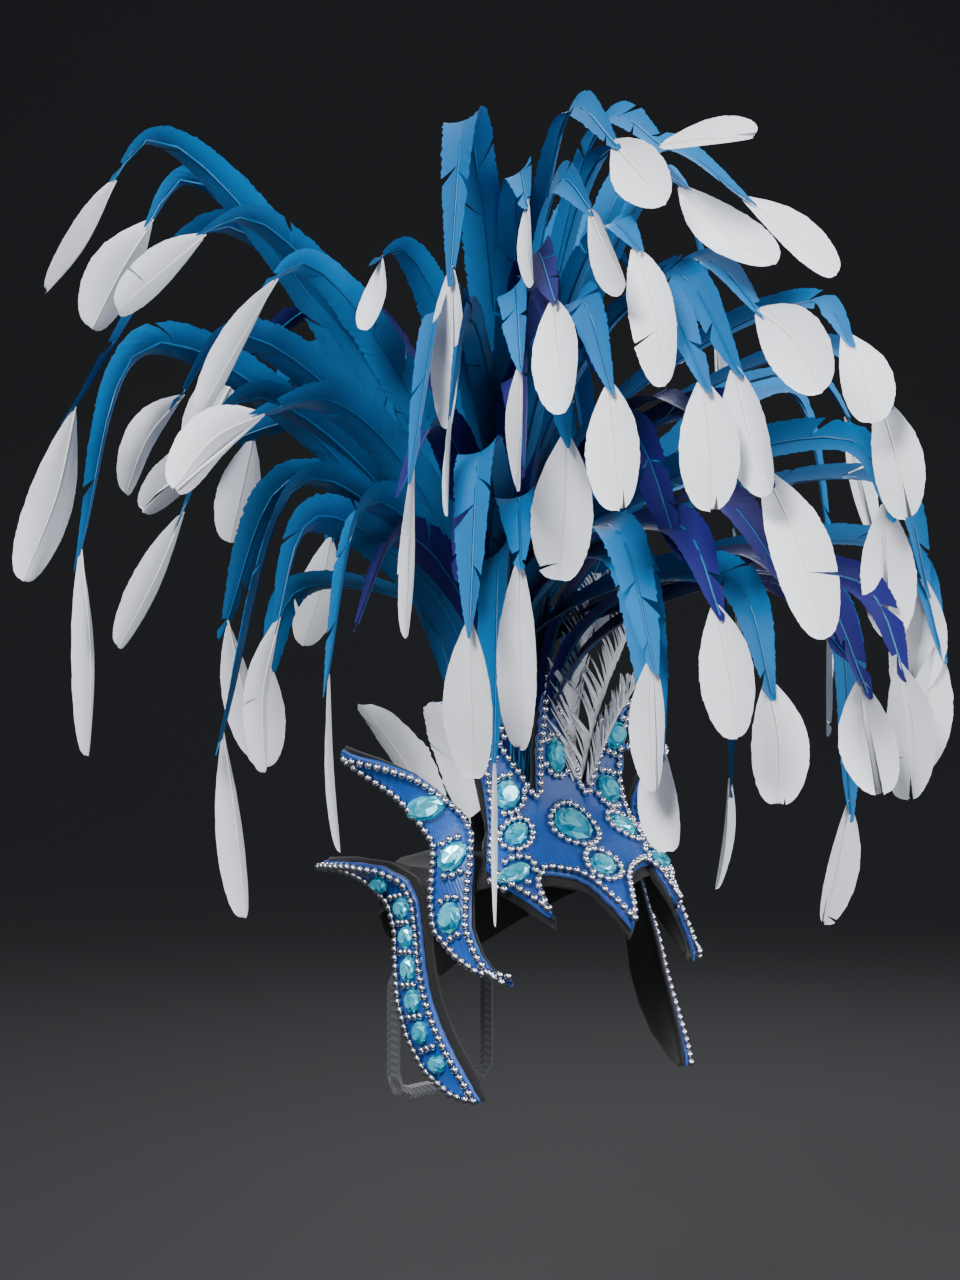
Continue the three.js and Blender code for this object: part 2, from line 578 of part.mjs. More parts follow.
// Padded loop at the nape: a round-cornered frame laid on the cap's back.
function napeLoop() {
  const arcSteps = 4;
  const sideSteps = 3;
  const cornerRadius = 14;
  const halfWidth = toRadians(LOOP_HALF_TURN) * NAPE_REACH;
  const halfTall = LOOP_HEIGHT / 2;
  const corners = [[1, 1], [-1, 1], [-1, -1], [1, -1]].map(([signX, signY], c) => {
    return Array.from({ length: arcSteps + 1 }, (_, k) => {
      const angle = toRadians(c * 90 + (k * 90) / arcSteps);
      return new THREE.Vector2(
        signX * (halfWidth - cornerRadius) + cornerRadius * Math.cos(angle),
        signY * (halfTall - cornerRadius) + cornerRadius * Math.sin(angle),
      );
    });
  });
  const flat = corners.flatMap((corner, c) => {
    const next = corners[(c + 1) % corners.length][0];
    const last = corner[arcSteps];
    const side = Array.from({ length: sideSteps }, (_, k) => {
      return last.clone().lerp(next, (k + 1) / (sideSteps + 1));
    });
    return [...corner, ...side];
  });
  const path = flat.map(({ x, y }) => {
    const turn = 180 + x / (toRadians(1) * NAPE_REACH);
    return direction(turn).multiplyScalar(loopReach(turn)).setZ(LOOP_TOP - halfTall + y);
  });
  const curve = new THREE.CatmullRomCurve3(path, true, 'centripetal');
  return new THREE.TubeGeometry(curve, 26, LOOP_DIAMETER / 2, 6, true);
}

function loopReach(turn) {
  const seat = crownPoint(turn, LOOP_TOP, 0);
  return Math.hypot(seat.x, seat.y) - CAP_CLEARANCE + LAYER_GAP + LOOP_DIAMETER / 2;
}

// One feather in the upright plane at its turn: a stem that rises, arches over
// and ends in a hanging leaf. Sections are flat blades with a keel.
function feather(row, foot) {
  const out = direction(row.turn);
  const lateral = new THREE.Vector3(0, 0, 1).cross(out);
  const at = (reach, rise) => foot.clone()
    .addScaledVector(out, reach * PLUME_REACH - QUILL_ROWS[1])
    .setZ(rise * PLUME_RISE);
  const shoulder = foot.clone()
    .addScaledVector(out, row.crest[0] * PLUME_REACH * row.spread)
    .setZ(THREE.MathUtils.lerp(foot.z, row.crest[1] * PLUME_RISE, 0.7));
  const crest = at(...row.crest);
  const tip = at(...row.tip);
  const leafEnd = at(...row.leaf);
  const stem = new THREE.CatmullRomCurve3([foot, shoulder, crest, tip], false, 'centripetal');
  const stations = [
    { share: 0, width: QUILL_WIDTH },
    { share: 0.34, width: QUILL_WIDTH * 1.4 },
    { share: 0.62, width: BLADE_WIDTH },
    { share: 0.86, width: BLADE_WIDTH },
    { share: 1, width: QUILL_WIDTH * 2 },
  ].map((s) => ({ point: stem.getPointAt(s.share), travel: stem.getTangentAt(s.share), ...s }));
  const hang = leafEnd.clone().sub(tip);
  const leafStations = [
    { share: 0.5, width: LEAF_WIDTH },
    { share: 1, width: QUILL_WIDTH },
  ].map((s) => ({
    point: tip.clone().addScaledVector(hang, s.share),
    travel: hang.clone().normalize(),
    ...s,
  }));
  const roll = toRadians(row.roll);
  const rings = [...stations, ...leafStations].map(({ point, travel, width }) => {
    const inPlane = travel.clone().cross(lateral).normalize();
    const across = lateral.clone().multiplyScalar(Math.cos(roll))
      .addScaledVector(inPlane, Math.sin(roll));
    const keel = across.clone().cross(travel).normalize();
    return [
      point.clone().addScaledVector(across, width / 2),
      point.clone().addScaledVector(across, -width / 2),
      point.clone().addScaledVector(keel, Math.min(BLADE_DEPTH, width / 2)),
    ];
  });
  return skinRings(rings);
}

// Bound quills of one sector: a wedge on the socket.
function quillBundle(bisector) {
  const half = 180 / SECTORS;
  const shape = new THREE.Shape();
  const apex = direction(bisector).multiplyScalar(BUNDLE_INSET);
  shape.moveTo(apex.x, apex.y);
  for (let k = 0; k <= 4; k += 1) {
    const turn = bisector - half + (k * half) / 2;
    const p = direction(turn).multiplyScalar(SOCKET_RADIUS - 2 * SOCKET_DRAFT).add(apex);
    shape.lineTo(p.x, p.y);
  }
  const wedge = new THREE.ExtrudeGeometry(shape, { depth: BUNDLE_HEIGHT, bevelEnabled: false });
  return outward(mergedBare(wedge.translate(0, 0, SOCKET_RISE + LAYER_GAP)));
}

function mergedBare(geometry) {
  geometry.deleteAttribute('normal');
  geometry.deleteAttribute('uv');
  return mergeVertices(geometry, 1e-4);
}

function hiddenFeather(_, i) {
  const model = FEATHERS[(i * HIDDEN_STRIDE) % FEATHERS.length];
  const drawnIn = ([reach, rise]) => [reach * HIDDEN_REACH, rise];
  return {
    ...model,
    turn: THREE.MathUtils.lerp(HIDDEN_FROM, HIDDEN_TO, (i + 0.5) / HIDDEN_COUNT),
    crest: drawnIn(model.crest),
    tip: drawnIn(model.tip),
    leaf: drawnIn(model.leaf),
  };
}

function allFeathers() {
  const hidden = Array.from({ length: HIDDEN_COUNT }, hiddenFeather);
  return [...FEATHERS, ...hidden].map((row) => ({ ...row, turn: (row.turn + 360) % 360 }));
}

const frontHalf = FRONT_RIBS.slice(1);
const frontRibs = [...mirrored(frontHalf).reverse(), ...FRONT_RIBS];
const frontRows = 4;
const liningKeepOut = ribbedWall(
  frontRibs, -CAP_CLEARANCE, LINING_THICKNESS, LINING_THICKNESS, frontRows, LINING_SHOW,
);
const frontKeepOut = ribbedWall(
  frontRibs, -4 * KEEP_OUT, beadOffset + BEAD_DIAMETER, plateOuter, frontRows, LINING_SHOW,
);

// Thin upright wall between two sectors, which keeps their feathers apart.
function sectorWall(turn) {
  const wall = new THREE.BoxGeometry(2 * LAYER_GAP, 2 * PLUME_REACH, 2 * PLUME_RISE);
  wall.translate(0, -PLUME_REACH, 0).rotateZ(-toRadians(turn));
  return mergedBare(wall);
}

function spray(bisector) {
  const half = 180 / SECTORS;
  const rows = allFeathers()
    .filter((row) => Math.abs(row.turn - bisector) < half)
    .sort((a, b) => a.turn - b.turn);
  const feathers = rows.map((row, k) => {
    const turn = bisector + ((k + 0.5) / rows.length - 0.5) * 1.6 * half;
    const foot = direction(turn).multiplyScalar(QUILL_ROWS[k % QUILL_ROWS.length])
      .setZ(SOCKET_RISE + LAYER_GAP + BUNDLE_HEIGHT / 2);
    return feather(row, foot);
  });
  const whole = fuse([quillBundle(bisector), ...feathers]);
  return carve(whole, [
    frontKeepOut,
    lining(frontRibs, frontRows, LINING_SHOW),
    plate(frontRibs, frontRows),
    sectorWall(bisector - half),
    sectorWall(bisector + half),
  ]);
}

const satin = material(COLOURS.satin, 0.45, 0);
const felt = material(COLOURS.felt, 0.95, 0);
const capCloth = material(COLOURS.cap, 0.9, 0);
const padding = material(COLOURS.loop, 0.85, 0);
const silver = material(COLOURS.bead, 0.2, 1);
const acrylic = material(COLOURS.stone, 0.08, 0.2);
const plumage = material(COLOURS.feather, 0.8, 0);

const headdress = new THREE.Group();

function add(name, geometry, finish) {
  const mesh = new THREE.Mesh(geometry, finish);
  mesh.name = name;
  headdress.add(mesh);
}

// A beaded plate: lining, plate, bead row along its edges, and its stones.
function addPlate(names, ribs, rows, overhang, stones, linked = false) {
  const keepOut = plateKeepOut(ribs, rows);
  const beadKeepOuts = [0, TABLE_RISE].map((reach) => beadRow(ribs, linked, LAYER_GAP, reach));
  add(names.lining, lining(ribs, rows, overhang), felt);
  const panel = plate(ribs, rows);
  add(names.plate, panel, satin);
  add(names.beads, carve(beadRow(ribs, linked), [keepOut]), silver);
  stones.forEach((stone) => {
    add(stone.name, carve(stoneSetting(stone), [panel, keepOut, ...beadKeepOuts]), acrylic);
  });
}

const sides = [{ name: 'right', sign: 1 }, { name: 'left', sign: -1 }];

function placed(stone, side, name) {
  const lean = (stone.lean ?? 0) * side.sign;
  return { ...stone, name, turn: stone.turn * side.sign, lean };
}

add('skull_cap', carve(skullCap(), [liningKeepOut]), capCloth);
add('nape_loop', napeLoop(), padding);
const panelStones = sides.flatMap((side) => PANEL_STONES.map((stone) => {
  return placed(stone, side, `${stone.name}_${side.name}`);
}));
addPlate(
  { lining: 'front_lining', plate: 'front_panel', beads: 'front_beads' },
  frontRibs, frontRows, LINING_SHOW, [...MIDDLE_STONES, ...panelStones],
);
sides.forEach((side) => {
  const turned = (ribs) => (side.sign > 0 ? ribs : mirrored(ribs));
  addPlate(
    {
      lining: `side_lining_${side.name}`,
      plate: `side_panel_${side.name}`,
      beads: `side_beads_${side.name}`,
    },
    turned(SIDE_RIBS), 2, 0,
    SIDE_STONES.map((stone) => placed(stone, side, `${stone.name}_${side.name}`)),
    true,
  );
  addPlate(
    {
      lining: `temple_lining_${side.name}`,
      plate: `temple_strip_${side.name}`,
      beads: `temple_beads_${side.name}`,
    },
    turned(TEMPLE_RIBS), 2, LINING_SHOW,
    TEMPLE_STONES.map((stone, i) => {
      return placed({ ...stone, ringed: false }, side, `temple_stone_${side.name}_${i + 1}`);
    }),
  );
});

['front_right', 'side_right', 'back_right', 'back_left', 'side_left', 'front_left']
  .forEach((name, i) => {
    const bisector = (i + 0.5) * (360 / SECTORS);
    add(`spray_${name}`, spray(bisector), plumage);
  });

export default headdress;
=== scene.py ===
"""Looks of a showgirl feather headdress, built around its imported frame.

Metres, +Z up, the front faces -Y. A turn is counted in degrees from the front
towards the wearer's right side, which is -X.
"""

import math

import bpy
import numpy as np
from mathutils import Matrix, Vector


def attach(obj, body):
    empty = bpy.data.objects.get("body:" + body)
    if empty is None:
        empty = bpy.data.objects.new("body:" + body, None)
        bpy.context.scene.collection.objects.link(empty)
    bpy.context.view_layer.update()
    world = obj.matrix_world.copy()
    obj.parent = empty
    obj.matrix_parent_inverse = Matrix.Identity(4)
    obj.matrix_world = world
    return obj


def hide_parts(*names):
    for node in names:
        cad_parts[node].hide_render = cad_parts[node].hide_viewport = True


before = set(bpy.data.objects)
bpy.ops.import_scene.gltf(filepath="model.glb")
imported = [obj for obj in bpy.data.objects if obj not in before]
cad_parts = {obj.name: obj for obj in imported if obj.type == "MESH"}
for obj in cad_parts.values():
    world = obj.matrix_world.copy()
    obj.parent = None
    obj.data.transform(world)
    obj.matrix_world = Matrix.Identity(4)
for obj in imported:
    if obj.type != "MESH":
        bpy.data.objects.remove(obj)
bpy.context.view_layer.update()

bl_info = {
    "name": "Showgirl feather headdress",
    "version": (1, 0, 0),
    "blender": (4, 5, 0),
    "location": "3D View > Sidebar > Headdress",
    "description": "Dresses the frame of a feather headdress with satin, beads, stones and plumes",
    "category": "Add Mesh",
}

MM = 0.001
SEED = 7
LINE_SAMPLES = 240  # points on the line that a ring of beads follows
EDGE_SAMPLES = 12  # the same between two corners of a plate
CURVE_SAMPLES = 24  # and between two anchors of a quill
TURN_LENGTH = math.radians(1)  # arc of one degree, as a share of its radius

# Studio: camera, lamps and a paper that sweeps up behind the headdress, in metres
VIEW_TURN = math.radians(40)  # the camera looks from the front's right side
CAMERA_PLACE = (-0.9143, -1.0604, 0.1581)
CAMERA_LENS = 61.03  # millimetres, before a sensor 36 mm high
LAMP_TARGET = (0, 0, 0.15)
LAMPS = (
    # name, place, size, watts
    ("key lamp", (-1.9, -1.0, 1.7), 0.9, 112),
    ("fill lamp", (0.9, -2.0, 0.9), 1.4, 60),
    ("top lamp", (0.2, 0.3, 2.4), 1.2, 30),
    ("rim lamp", (1.6, 1.2, 1.3), 0.9, 40),
    ("front lamp", (-0.9, -1.9, -0.1), 0.8, 10),
)
PAPER_NEAR = 2.5
PAPER_FAR = 2.6
PAPER_BEND = 1.4
PAPER_TOP = 4.0
PAPER_HALF_WIDTH = 5.0

# Crown, in metres
SPIRE_RISE = 145 * MM
BROW_REACH = 109 * MM
CROWN_HALF_WIDTH = 91 * MM
NAPE_REACH = 72 * MM
LINING_THICKNESS = 2.4 * MM
LINING_SHOW = 4 * MM
LAYER_GAP = 0.3 * MM
PLATE_THICKNESS = 4 * MM
PLATE_EDGE = 2.4 * MM
BEAD_INSET = 2.2 * MM
PLATE_INNER = LINING_THICKNESS + LAYER_GAP
PLATE_OUTER = PLATE_INNER + PLATE_THICKNESS
STONE_SIZE = 24 * MM
PUCKER = 0.35 * MM  # height of the small pulls along a glued edge
PUCKER_WAVES = (240, 9)  # their waves in radians: along the plate and across it
CLOTH_STEPS = 5  # rows of the cloth between two ribs
FELT_STEPS = 4  # rows of the lining between two ribs
FRONT_ROWS = 18  # columns of both across the front panel
SIDE_ROWS = 8  # and across the narrow plates
BEAD_STAND = 0.36  # height of a bead's middle over the satin, in beads
BEAD_CLEAR = 0.82  # least distance between the middles of two rows, in beads
BAR_BEADS = 5  # beads of a short row across a temple strip
RING_GAP = 0.55  # from a stone's edge to the middle of the beads round it, in beads
BEAD_SPLIT = 0.9  # how far a row keeps back from a sharp corner of a plate, in beads
STONE_FACETS = 10
STONE_CUT = (
    # share of the girdle, share of the rise, half-step turned
    (0.96, 0.0, 0),
    (1.0, 0.35, 0),
    (0.82, 0.7, 1),
    (0.56, 1.0, 0),
)
PLATE_NODES = {"front": "front_panel", "side": "side_panel", "temple": "temple_strip"}

# Plume, in metres
PLUME_REACH = 290 * MM
PLUME_RISE = 480 * MM
SOCKET_RISE = 50 * MM
BUNDLE_HEIGHT = 12 * MM
QUILL_ROWS = (7 * MM, 13 * MM, 19 * MM)
SECTOR_NAMES = ("front_right", "side_right", "back_right", "back_left", "side_left", "front_left")
SECTOR_TURN = 60
BUNDLE_SPREAD = 0.8  # share of its sector that a bundle of quills takes up
SHOULDER_SHARE = 0.7  # height of a quill's shoulder on the way from foot to crest
LEAF_NECK = 14 * MM  # length of a leaf that lies on its blade
PALE_QUILL = ("D9D6CF", "F2EFE6")

# Barbs: where they start on the quill, how far they lean, how they bow and clump,
# the least and most barbs of a clump, and how uneven their lengths are.
BLADE_BARBS = {"start": 0.06, "forward": 16 * MM, "camber": 0.3, "clump": 0.035,
               "run": (15, 90), "ragged": 0.03}
LEAF_BARBS = {"start": 0.02, "forward": 7 * MM, "camber": 0.28, "clump": 0.02,
              "run": (30, 200), "ragged": 0.008}
BROAD_BARBS = {"start": 0.04, "forward": 12 * MM, "camber": 0.25, "clump": 0.03,
               "run": (15, 90), "ragged": 0.025}
DOWN_BARBS = {"start": 0.04, "forward": 24 * MM, "camber": 0.35, "clump": 0.85,
              "run": (2, 5), "ragged": 0.2}
DOWN_SPACING = 1.0 * MM
BARB_LAG = 0.6 * MM  # how far one clump leans more or less than the next
BARB_LIFT = 0.35 * MM  # how far it stands off its neighbours
BARB_STEPS = np.array([0.0, 0.34, 0.7, 1.0])  # places along a barb

# Plan of the crown by height: shares of SPIRE_RISE, BROW_REACH and CROWN_HALF_WIDTH.
SECTIONS = np.array([
    # height, front, side, power
    (-1.1, 0.92, 1.06, 3.0),
    (-0.8, 0.96, 1.04, 3.0),
    (-0.32, 0.99, 1.04, 3.0),
    (-0.11, 1.0, 1.0, 2.7),
    (0.03, 0.85, 0.99, 2.5),
    (0.12, 0.73, 1.0, 2.4),
    (0.26, 0.5, 1.05, 2.3),
    (0.4, 0.4, 1.15, 2.2),
    (0.6, 0.34, 1.38, 2.1),
    (0.83, 0.29, 1.65, 2.0),
    (1.05, 0.25, 1.8, 2.0),
])

# Ribs of the plates: turn and height of edge A, turn and height of edge B, and where the
# rib stands off, its flare as a share of BROW_REACH.
FRONT_RIBS = (
    (0, -0.13, 0, 1.0),
    (5, -0.04, 9.5, 0.81),
    (10, 0.04, 15, 0.71),
    (15, 0.07, 21, 0.61),
    (20, 0.08, 24, 0.39),
    (25, 0.09, 31, 0.45),
    (31, 0.09, 38, 0.52),
    (27, -0.08, 42, 0.55),
    (37, 0.01, 48, 0.61),
    (44, 0.06, 54, 0.68),
    (49.5, 0.12, 60, 0.77),
    (52, 0.26, 66, 0.81),
    (59, 0.54, 71, 0.82),
    (67, 0.72, 73.5, 0.83),
)
SIDE_RIBS = (
    (39.2, -0.31, 41.5, -0.29),
    (45, -0.26, 49, -0.29),
    (48.5, -0.2, 57, -0.23),
    (52, -0.1, 66, -0.13),
    (53, 0.01, 69, 0.0),
    (54, 0.14, 70, 0.165),
    (57, 0.25, 71.5, 0.22),
    (62.5, 0.35, 75, 0.28),
    (69, 0.43, 79, 0.36),
    (76, 0.53, 83, 0.46),
    (83, 0.6, 87.5, 0.55),
    (89.5, 0.65, 91, 0.63),
)
TEMPLE_RIBS = (
    (48.5, -0.8, 51, -0.81),
    (52, -0.72, 58, -0.79),
    (57, -0.62, 69, -0.7),
    (62, -0.51, 77, -0.57),
    (66, -0.4, 82, -0.43),
    (69, -0.28, 83.5, -0.3),
    (72, -0.14, 86, -0.15),
    (75, -0.01, 91, -0.04),
    (79.5, 0.08, 98, 0.02, 0.02),
    (88, 0.145, 105, 0.07, 0.08),
    (99, 0.17, 110, 0.11, 0.17),
    (111, 0.16, 113, 0.13, 0.27),
)

# Stones: node, turn, height, width, tall, lean, ring of beads, flare.
MIDDLE_STONES = (
    ("spire_stone", 0, 0.58, 0.62, 0.88, 0, True, 0),
    ("crest_stone", 0, 0.27, 1.15, 0.95, 0, True, 0),
    ("brow_stone", 0, 0.1, 0.8, 0.44, 0, True, 0),
)
PANEL_STONES = (
    ("peak_stone", 58.5, 0.66, 0.56, 0.82, 20, True, 0),
    ("panel_stone", 46, 0.42, 0.64, 0.82, 10, True, 0),
    ("round_stone", 39, 0.24, 0.6, 0.6, 0, True, 0),
    ("hook_stone", 39.5, 0.09, 0.82, 0.42, 15, True, 0),
)
SIDE_STONES = (
    ("horn_stone", 74.5, 0.39, 0.7, 0.7, 30, False, 0),
    ("side_stone", 62.5, 0.17, 0.64, 0.66, 0, True, 0),
    ("low_stone", 59.5, -0.07, 0.62, 0.78, 0, True, 0),
)
TEMPLE_STONES = (
    ("temple_stone_1", 92, 0.055, 0.52, 0.54, 0, False, 0.04),
    ("temple_stone_2", 82, -0.045, 0.48, 0.56, 0, False, 0),
    ("temple_stone_3", 78, -0.165, 0.46, 0.62, 0, False, 0),
    ("temple_stone_4", 75.5, -0.29, 0.46, 0.62, 0, False, 0),
    ("temple_stone_5", 73, -0.415, 0.46, 0.62, 0, False, 0),
    ("temple_stone_6", 69.5, -0.54, 0.46, 0.6, 0, False, 0),
    ("temple_stone_7", 62.5, -0.66, 0.46, 0.5, 0, False, 0),
)

# Feathers: turn, crest reach and rise, tip reach and rise, leaf reach and rise,
# spread, roll, dye, share of the usual leaf. Reaches are shares of PLUME_REACH,
# rises of PLUME_RISE.
FEATHERS = (
    (93, 0.86, 0.93, 0.98, 0.85, 1.1, 0.73, 0.42, 40, "blue", 1.2),
    (102, 0.66, 0.85, 1.0, 0.59, 1.08, 0.4, 0.3, 35, "blue", 1),
    (88, 0.68, 0.84, 0.84, 0.8, 1.0, 0.71, 0.36, 30, "blue", 1),
    (84, 0.62, 0.79, 0.74, 0.75, 0.9, 0.59, 0.36, 50, "blue", 1),
    (98, 0.86, 0.69, 1.02, 0.41, 0.99, 0.19, 0.36, 35, "blue", 1),
    (90, 0.74, 0.7, 0.9, 0.6, 1.0, 0.5, 0.34, 45, "blue", 1),
    (95, 0.68, 0.63, 0.85, 0.46, 0.97, 0.32, 0.34, 30, "blue", 1),
    (80, 0.54, 0.62, 0.79, 0.59, 0.98, 0.5, 0.3, 40, "blue", 1),
    (90, 0.55, 0.53, 0.77, 0.19, 0.7, -0.01, 0.3, 30, "blue", 1.1),
    (78, 0.48, 0.5, 0.62, 0.26, 0.57, 0.07, 0.28, 40, "blue", 0.8),
    (76, 0.4, 0.82, 0.52, 0.79, 0.53, 0.71, 0.28, 30, "blue", 0.7),
    (53, 0.42, 0.97, 0.56, 0.75, 0.56, 0.58, 0.25, 20, "blue", 1),
    (57, 0.45, 0.74, 0.68, 0.51, 0.7, 0.33, 0.12, 45, "blue", 0.8),
    (50, 0.5, 0.72, 0.74, 0.58, 0.75, 0.47, 0.12, 60, "blue", 0.6),
    (46, 0.58, 0.55, 0.78, 0.33, 0.68, 0.17, 0.08, 30, "blue", 1),
    (44, 0.34, 0.44, 0.5, 0.18, 0.46, -0.02, 0.04, 50, "blue", 0.18),
    (38.5, 0.5, 0.5, 0.64, 0.41, 0.6, 0.2, 0.08, 25, "blue", 0.9),
    (31, 0.52, 0.66, 0.68, 0.55, 0.58, 0.4, 0.12, 40, "blue", 1.15),
    (20, 0.38, 0.99, 0.64, 0.91, 0.85, 0.82, 0.25, 35, "blue", 1),
    (9, 0.36, 0.94, 0.66, 0.86, 0.92, 0.75, 0.22, 30, "blue", 1),
    (22, 0.6, 0.82, 0.79, 0.77, 0.9, 0.61, 0.25, 40, "blue", 0.85),
    (34, 0.45, 0.8, 0.78, 0.71, 0.9, 0.58, 0.2, 30, "navy", 1),
    (8, 0.68, 0.78, 0.9, 0.69, 1.05, 0.6, 0.12, 35, "blue", 1.1),
    (18, 0.72, 0.73, 0.95, 0.6, 0.95, 0.47, 0.12, 25, "blue", 1),
    (-5, 0.83, 0.73, 0.92, 0.67, 0.96, 0.58, 0.12, 40, "blue", 1),
    (-10, 0.8, 0.68, 0.93, 0.6, 0.96, 0.47, 0.12, 30, "blue", 0.9),
    (-14, 0.86, 0.57, 0.95, 0.47, 0.94, 0.33, 0.08, 55, "blue", 1),
    (-19, 0.88, 0.52, 0.97, 0.38, 0.92, 0.26, 0.08, 35, "blue", 1),
    (28, 0.62, 0.73, 0.88, 0.6, 0.92, 0.47, 0.12, 35, "blue", 1),
    (15, 0.78, 0.46, 0.93, 0.35, 0.98, 0.22, 0.04, 40, "navy", 1),
    (-6, 0.82, 0.4, 0.97, 0.26, 1.0, 0.15, 0.04, 30, "navy", 1),
    (-12, 0.86, 0.4, 0.97, 0.28, 0.97, 0.14, 0.04, 50, "navy", 1),
    (-19, 0.88, 0.44, 0.98, 0.3, 0.92, 0.17, 0.04, 40, "blue", 1),
    (-25, 0.72, 0.4, 0.8, 0.1, 0.74, -0.03, 0.04, 30, "blue", 1),
    (22, 0.64, 0.46, 0.85, 0.29, 0.84, 0.16, 0.04, 25, "blue", 0.85),
    (6, 0.78, 0.4, 0.9, 0.26, 0.91, 0.14, 0.04, 35, "blue", 1),
)
# Feathers that only thicken the front of the fountain.
FILL_FEATHERS = (
    (84, 0.58, 0.48, 0.69, 0.33, 0.71, 0.17, 0.28, 55, "blue", 1),
    (14, 0.42, 0.97, 0.68, 0.9, 0.97, 0.88, 0.25, 45, "blue", 1),
    (37, 0.33, 0.91, 0.58, 0.84, 0.72, 0.74, 0.22, 40, "blue", 1),
    (27, 0.44, 0.89, 0.72, 0.82, 0.92, 0.72, 0.22, 55, "blue", 1),
    (39, 0.45, 0.76, 0.82, 0.63, 0.74, 0.5, 0.12, 50, "blue", 1),
    (13, 0.68, 0.76, 0.93, 0.62, 1.02, 0.49, 0.12, 50, "blue", 1),
    (9, 0.8, 0.6, 0.96, 0.5, 1.1, 0.33, 0.08, 45, "navy", 1),
    (18.5, 0.6, 0.43, 0.76, 0.19, 0.8, 0.09, 0.04, 45, "blue", 1),
)
# Navy feathers without a leaf, inside the arches: turn, crest reach and rise, tip
# reach and rise, roll.
INNER_ARCS = (
    (33, 0.3, 0.78, 0.66, 0.68, 20),
    (38, 0.34, 0.66, 0.56, 0.52, 40),
    (24, 0.4, 0.72, 0.62, 0.62, 30),
    (10, 0.48, 0.62, 0.74, 0.57, 25),
    (16, 0.5, 0.58, 0.72, 0.42, 45),
    (3, 0.6, 0.5, 0.82, 0.38, 30),
    (-2, 0.64, 0.43, 0.85, 0.33, 20),
    (-9, 0.62, 0.4, 0.82, 0.3, 35),
    (52, 0.28, 0.52, 0.46, 0.4, 25),
    (64, 0.3, 0.6, 0.5, 0.5, 40),
    (74, 0.34, 0.46, 0.5, 0.34, 30),
)
# Upright white feathers behind the crown: turn, reach and height of the foot in
# metres, turn, reach and height of the tip, half width, whether it is down.
WHITE_FEATHERS = (
    (-14, 0.044, 0.05, -18, 0.066, 0.2, 0.017, True),
    (-22, 0.046, 0.05, -38, 0.085, 0.18, 0.024, True),
    (-30, 0.05, 0.055, -54, 0.1, 0.155, 0.022, True),
    (-40, 0.056, 0.06, -52, 0.08, 0.135, 0.018, True),
    (62, 0.066, 0.045, 70, 0.092, 0.12, 0.018, False),
    (84, 0.066, 0.04, 98, 0.108, 0.118, 0.024, False),
)
# Behind the head the fountain goes on with feathers shaped like FEATHERS.
HIDDEN_FROM = 112
HIDDEN_TO = 322
HIDDEN_COUNT = 20
HIDDEN_STRIDE = 7
HIDDEN_REACH = 0.85


def length_property(name, default, description):
    return bpy.props.FloatProperty(
        name=name, description=description, default=default, unit="LENGTH")


class HeaddressSizes(bpy.types.PropertyGroup):
    """Sizes that a costume maker would change."""

    bead: length_property("Bead", 5 * MM, "Diameter of the silver beads")
    bead_pitch: length_property("Bead pitch", 5.3 * MM, "From bead to bead on a row")
    blade: length_property("Blade", 27 * MM, "Width of a blue feather")
    leaf: length_property("Leaf", 32 * MM, "Width of a white feather tip")
    barb: length_property("Barb spacing", 1.7 * MM, "Spacing of the drawn barbs along a quill")
    stone_rise: length_property("Stone rise", 5.5 * MM, "Height of a stone's table above the satin")
    floor_drop: length_property("Floor", 0.42, "Floor below the head opening")


def from_hex(code):
    """Linear colour from an sRGB hex code."""
    values = [int(code[i:i + 2], 16) / 255 for i in (0, 2, 4)]
    linear = [v / 12.92 if v <= 0.04045 else ((v + 0.055) / 1.055) ** 2.4 for v in values]
    return (*linear, 1.0)


def colour_property(name, code, description):
    return bpy.props.FloatVectorProperty(
        name=name, description=description, subtype="COLOR", size=4, min=0, max=1,
        default=from_hex(code))


class HeaddressColours(bpy.types.PropertyGroup):
    """Dyes and finishes, and the painted shade of the blue barbs."""

    blue: colour_property("Blue dye", "0272B2", "Most of the feathers")
    # Dark end of the blue barbs: painted shade towards the feathers' feet, also reached by their
    # random lightness.
    deep_blue_and_painted_shade: colour_property("Deep blue and painted shade", "033F6E", "Shaded barbs of the blue feathers")
    navy: colour_property("Navy dye", "17166B", "Inner feathers")
    white: colour_property("White", "F1F3FA", "Feather tips and down")
    satin: colour_property("Satin", "074FA6", "Cloth of the crown")
    felt: colour_property("Felt", "123F9C", "Cut edge of the plates")
    black: colour_property("Black", "101012", "Lining and cap")
    grey: colour_property("Grey", "43434C", "Padded nape loop")
    silver: colour_property("Silver", "D8D5DD", "Beads")
    stone: colour_property("Turquoise", "0FA6CB", "Acrylic stones")


def sizes():
    return bpy.context.scene.headdress_sizes


def colours():
    return bpy.context.scene.headdress_colours


def add_node(tree, kind, settings=None, inputs=None):
    """Adds a node, sets its own fields, then its sockets by value or by link."""
    made = tree.nodes.new(kind)
    for key, value in (settings or {}).items():
        setattr(made, key, value)
    for key, value in (inputs or {}).items():
        if isinstance(value, bpy.types.NodeSocket):
            tree.links.new(value, made.inputs[key])
        else:
            made.inputs[key].default_value = value
    return made


def new_material(name, surface):
    """Material with one Principled shader; surface gives the plain sockets."""
    made = bpy.data.materials.new(name)
    made.use_nodes = True
    tree = made.node_tree
    tree.nodes.clear()
    shader = add_node(tree, "ShaderNodeBsdfPrincipled", inputs=surface)
    add_node(tree, "ShaderNodeOutputMaterial", inputs={"Surface": shader.outputs["BSDF"]})
    return made, tree, shader


def join_bump(tree, shader, height, strength, distance):
    bump = add_node(tree, "ShaderNodeBump", inputs={
        "Strength": strength, "Distance": distance, "Height": height})
    tree.links.new(bump.outputs["Normal"], shader.inputs["Normal"])


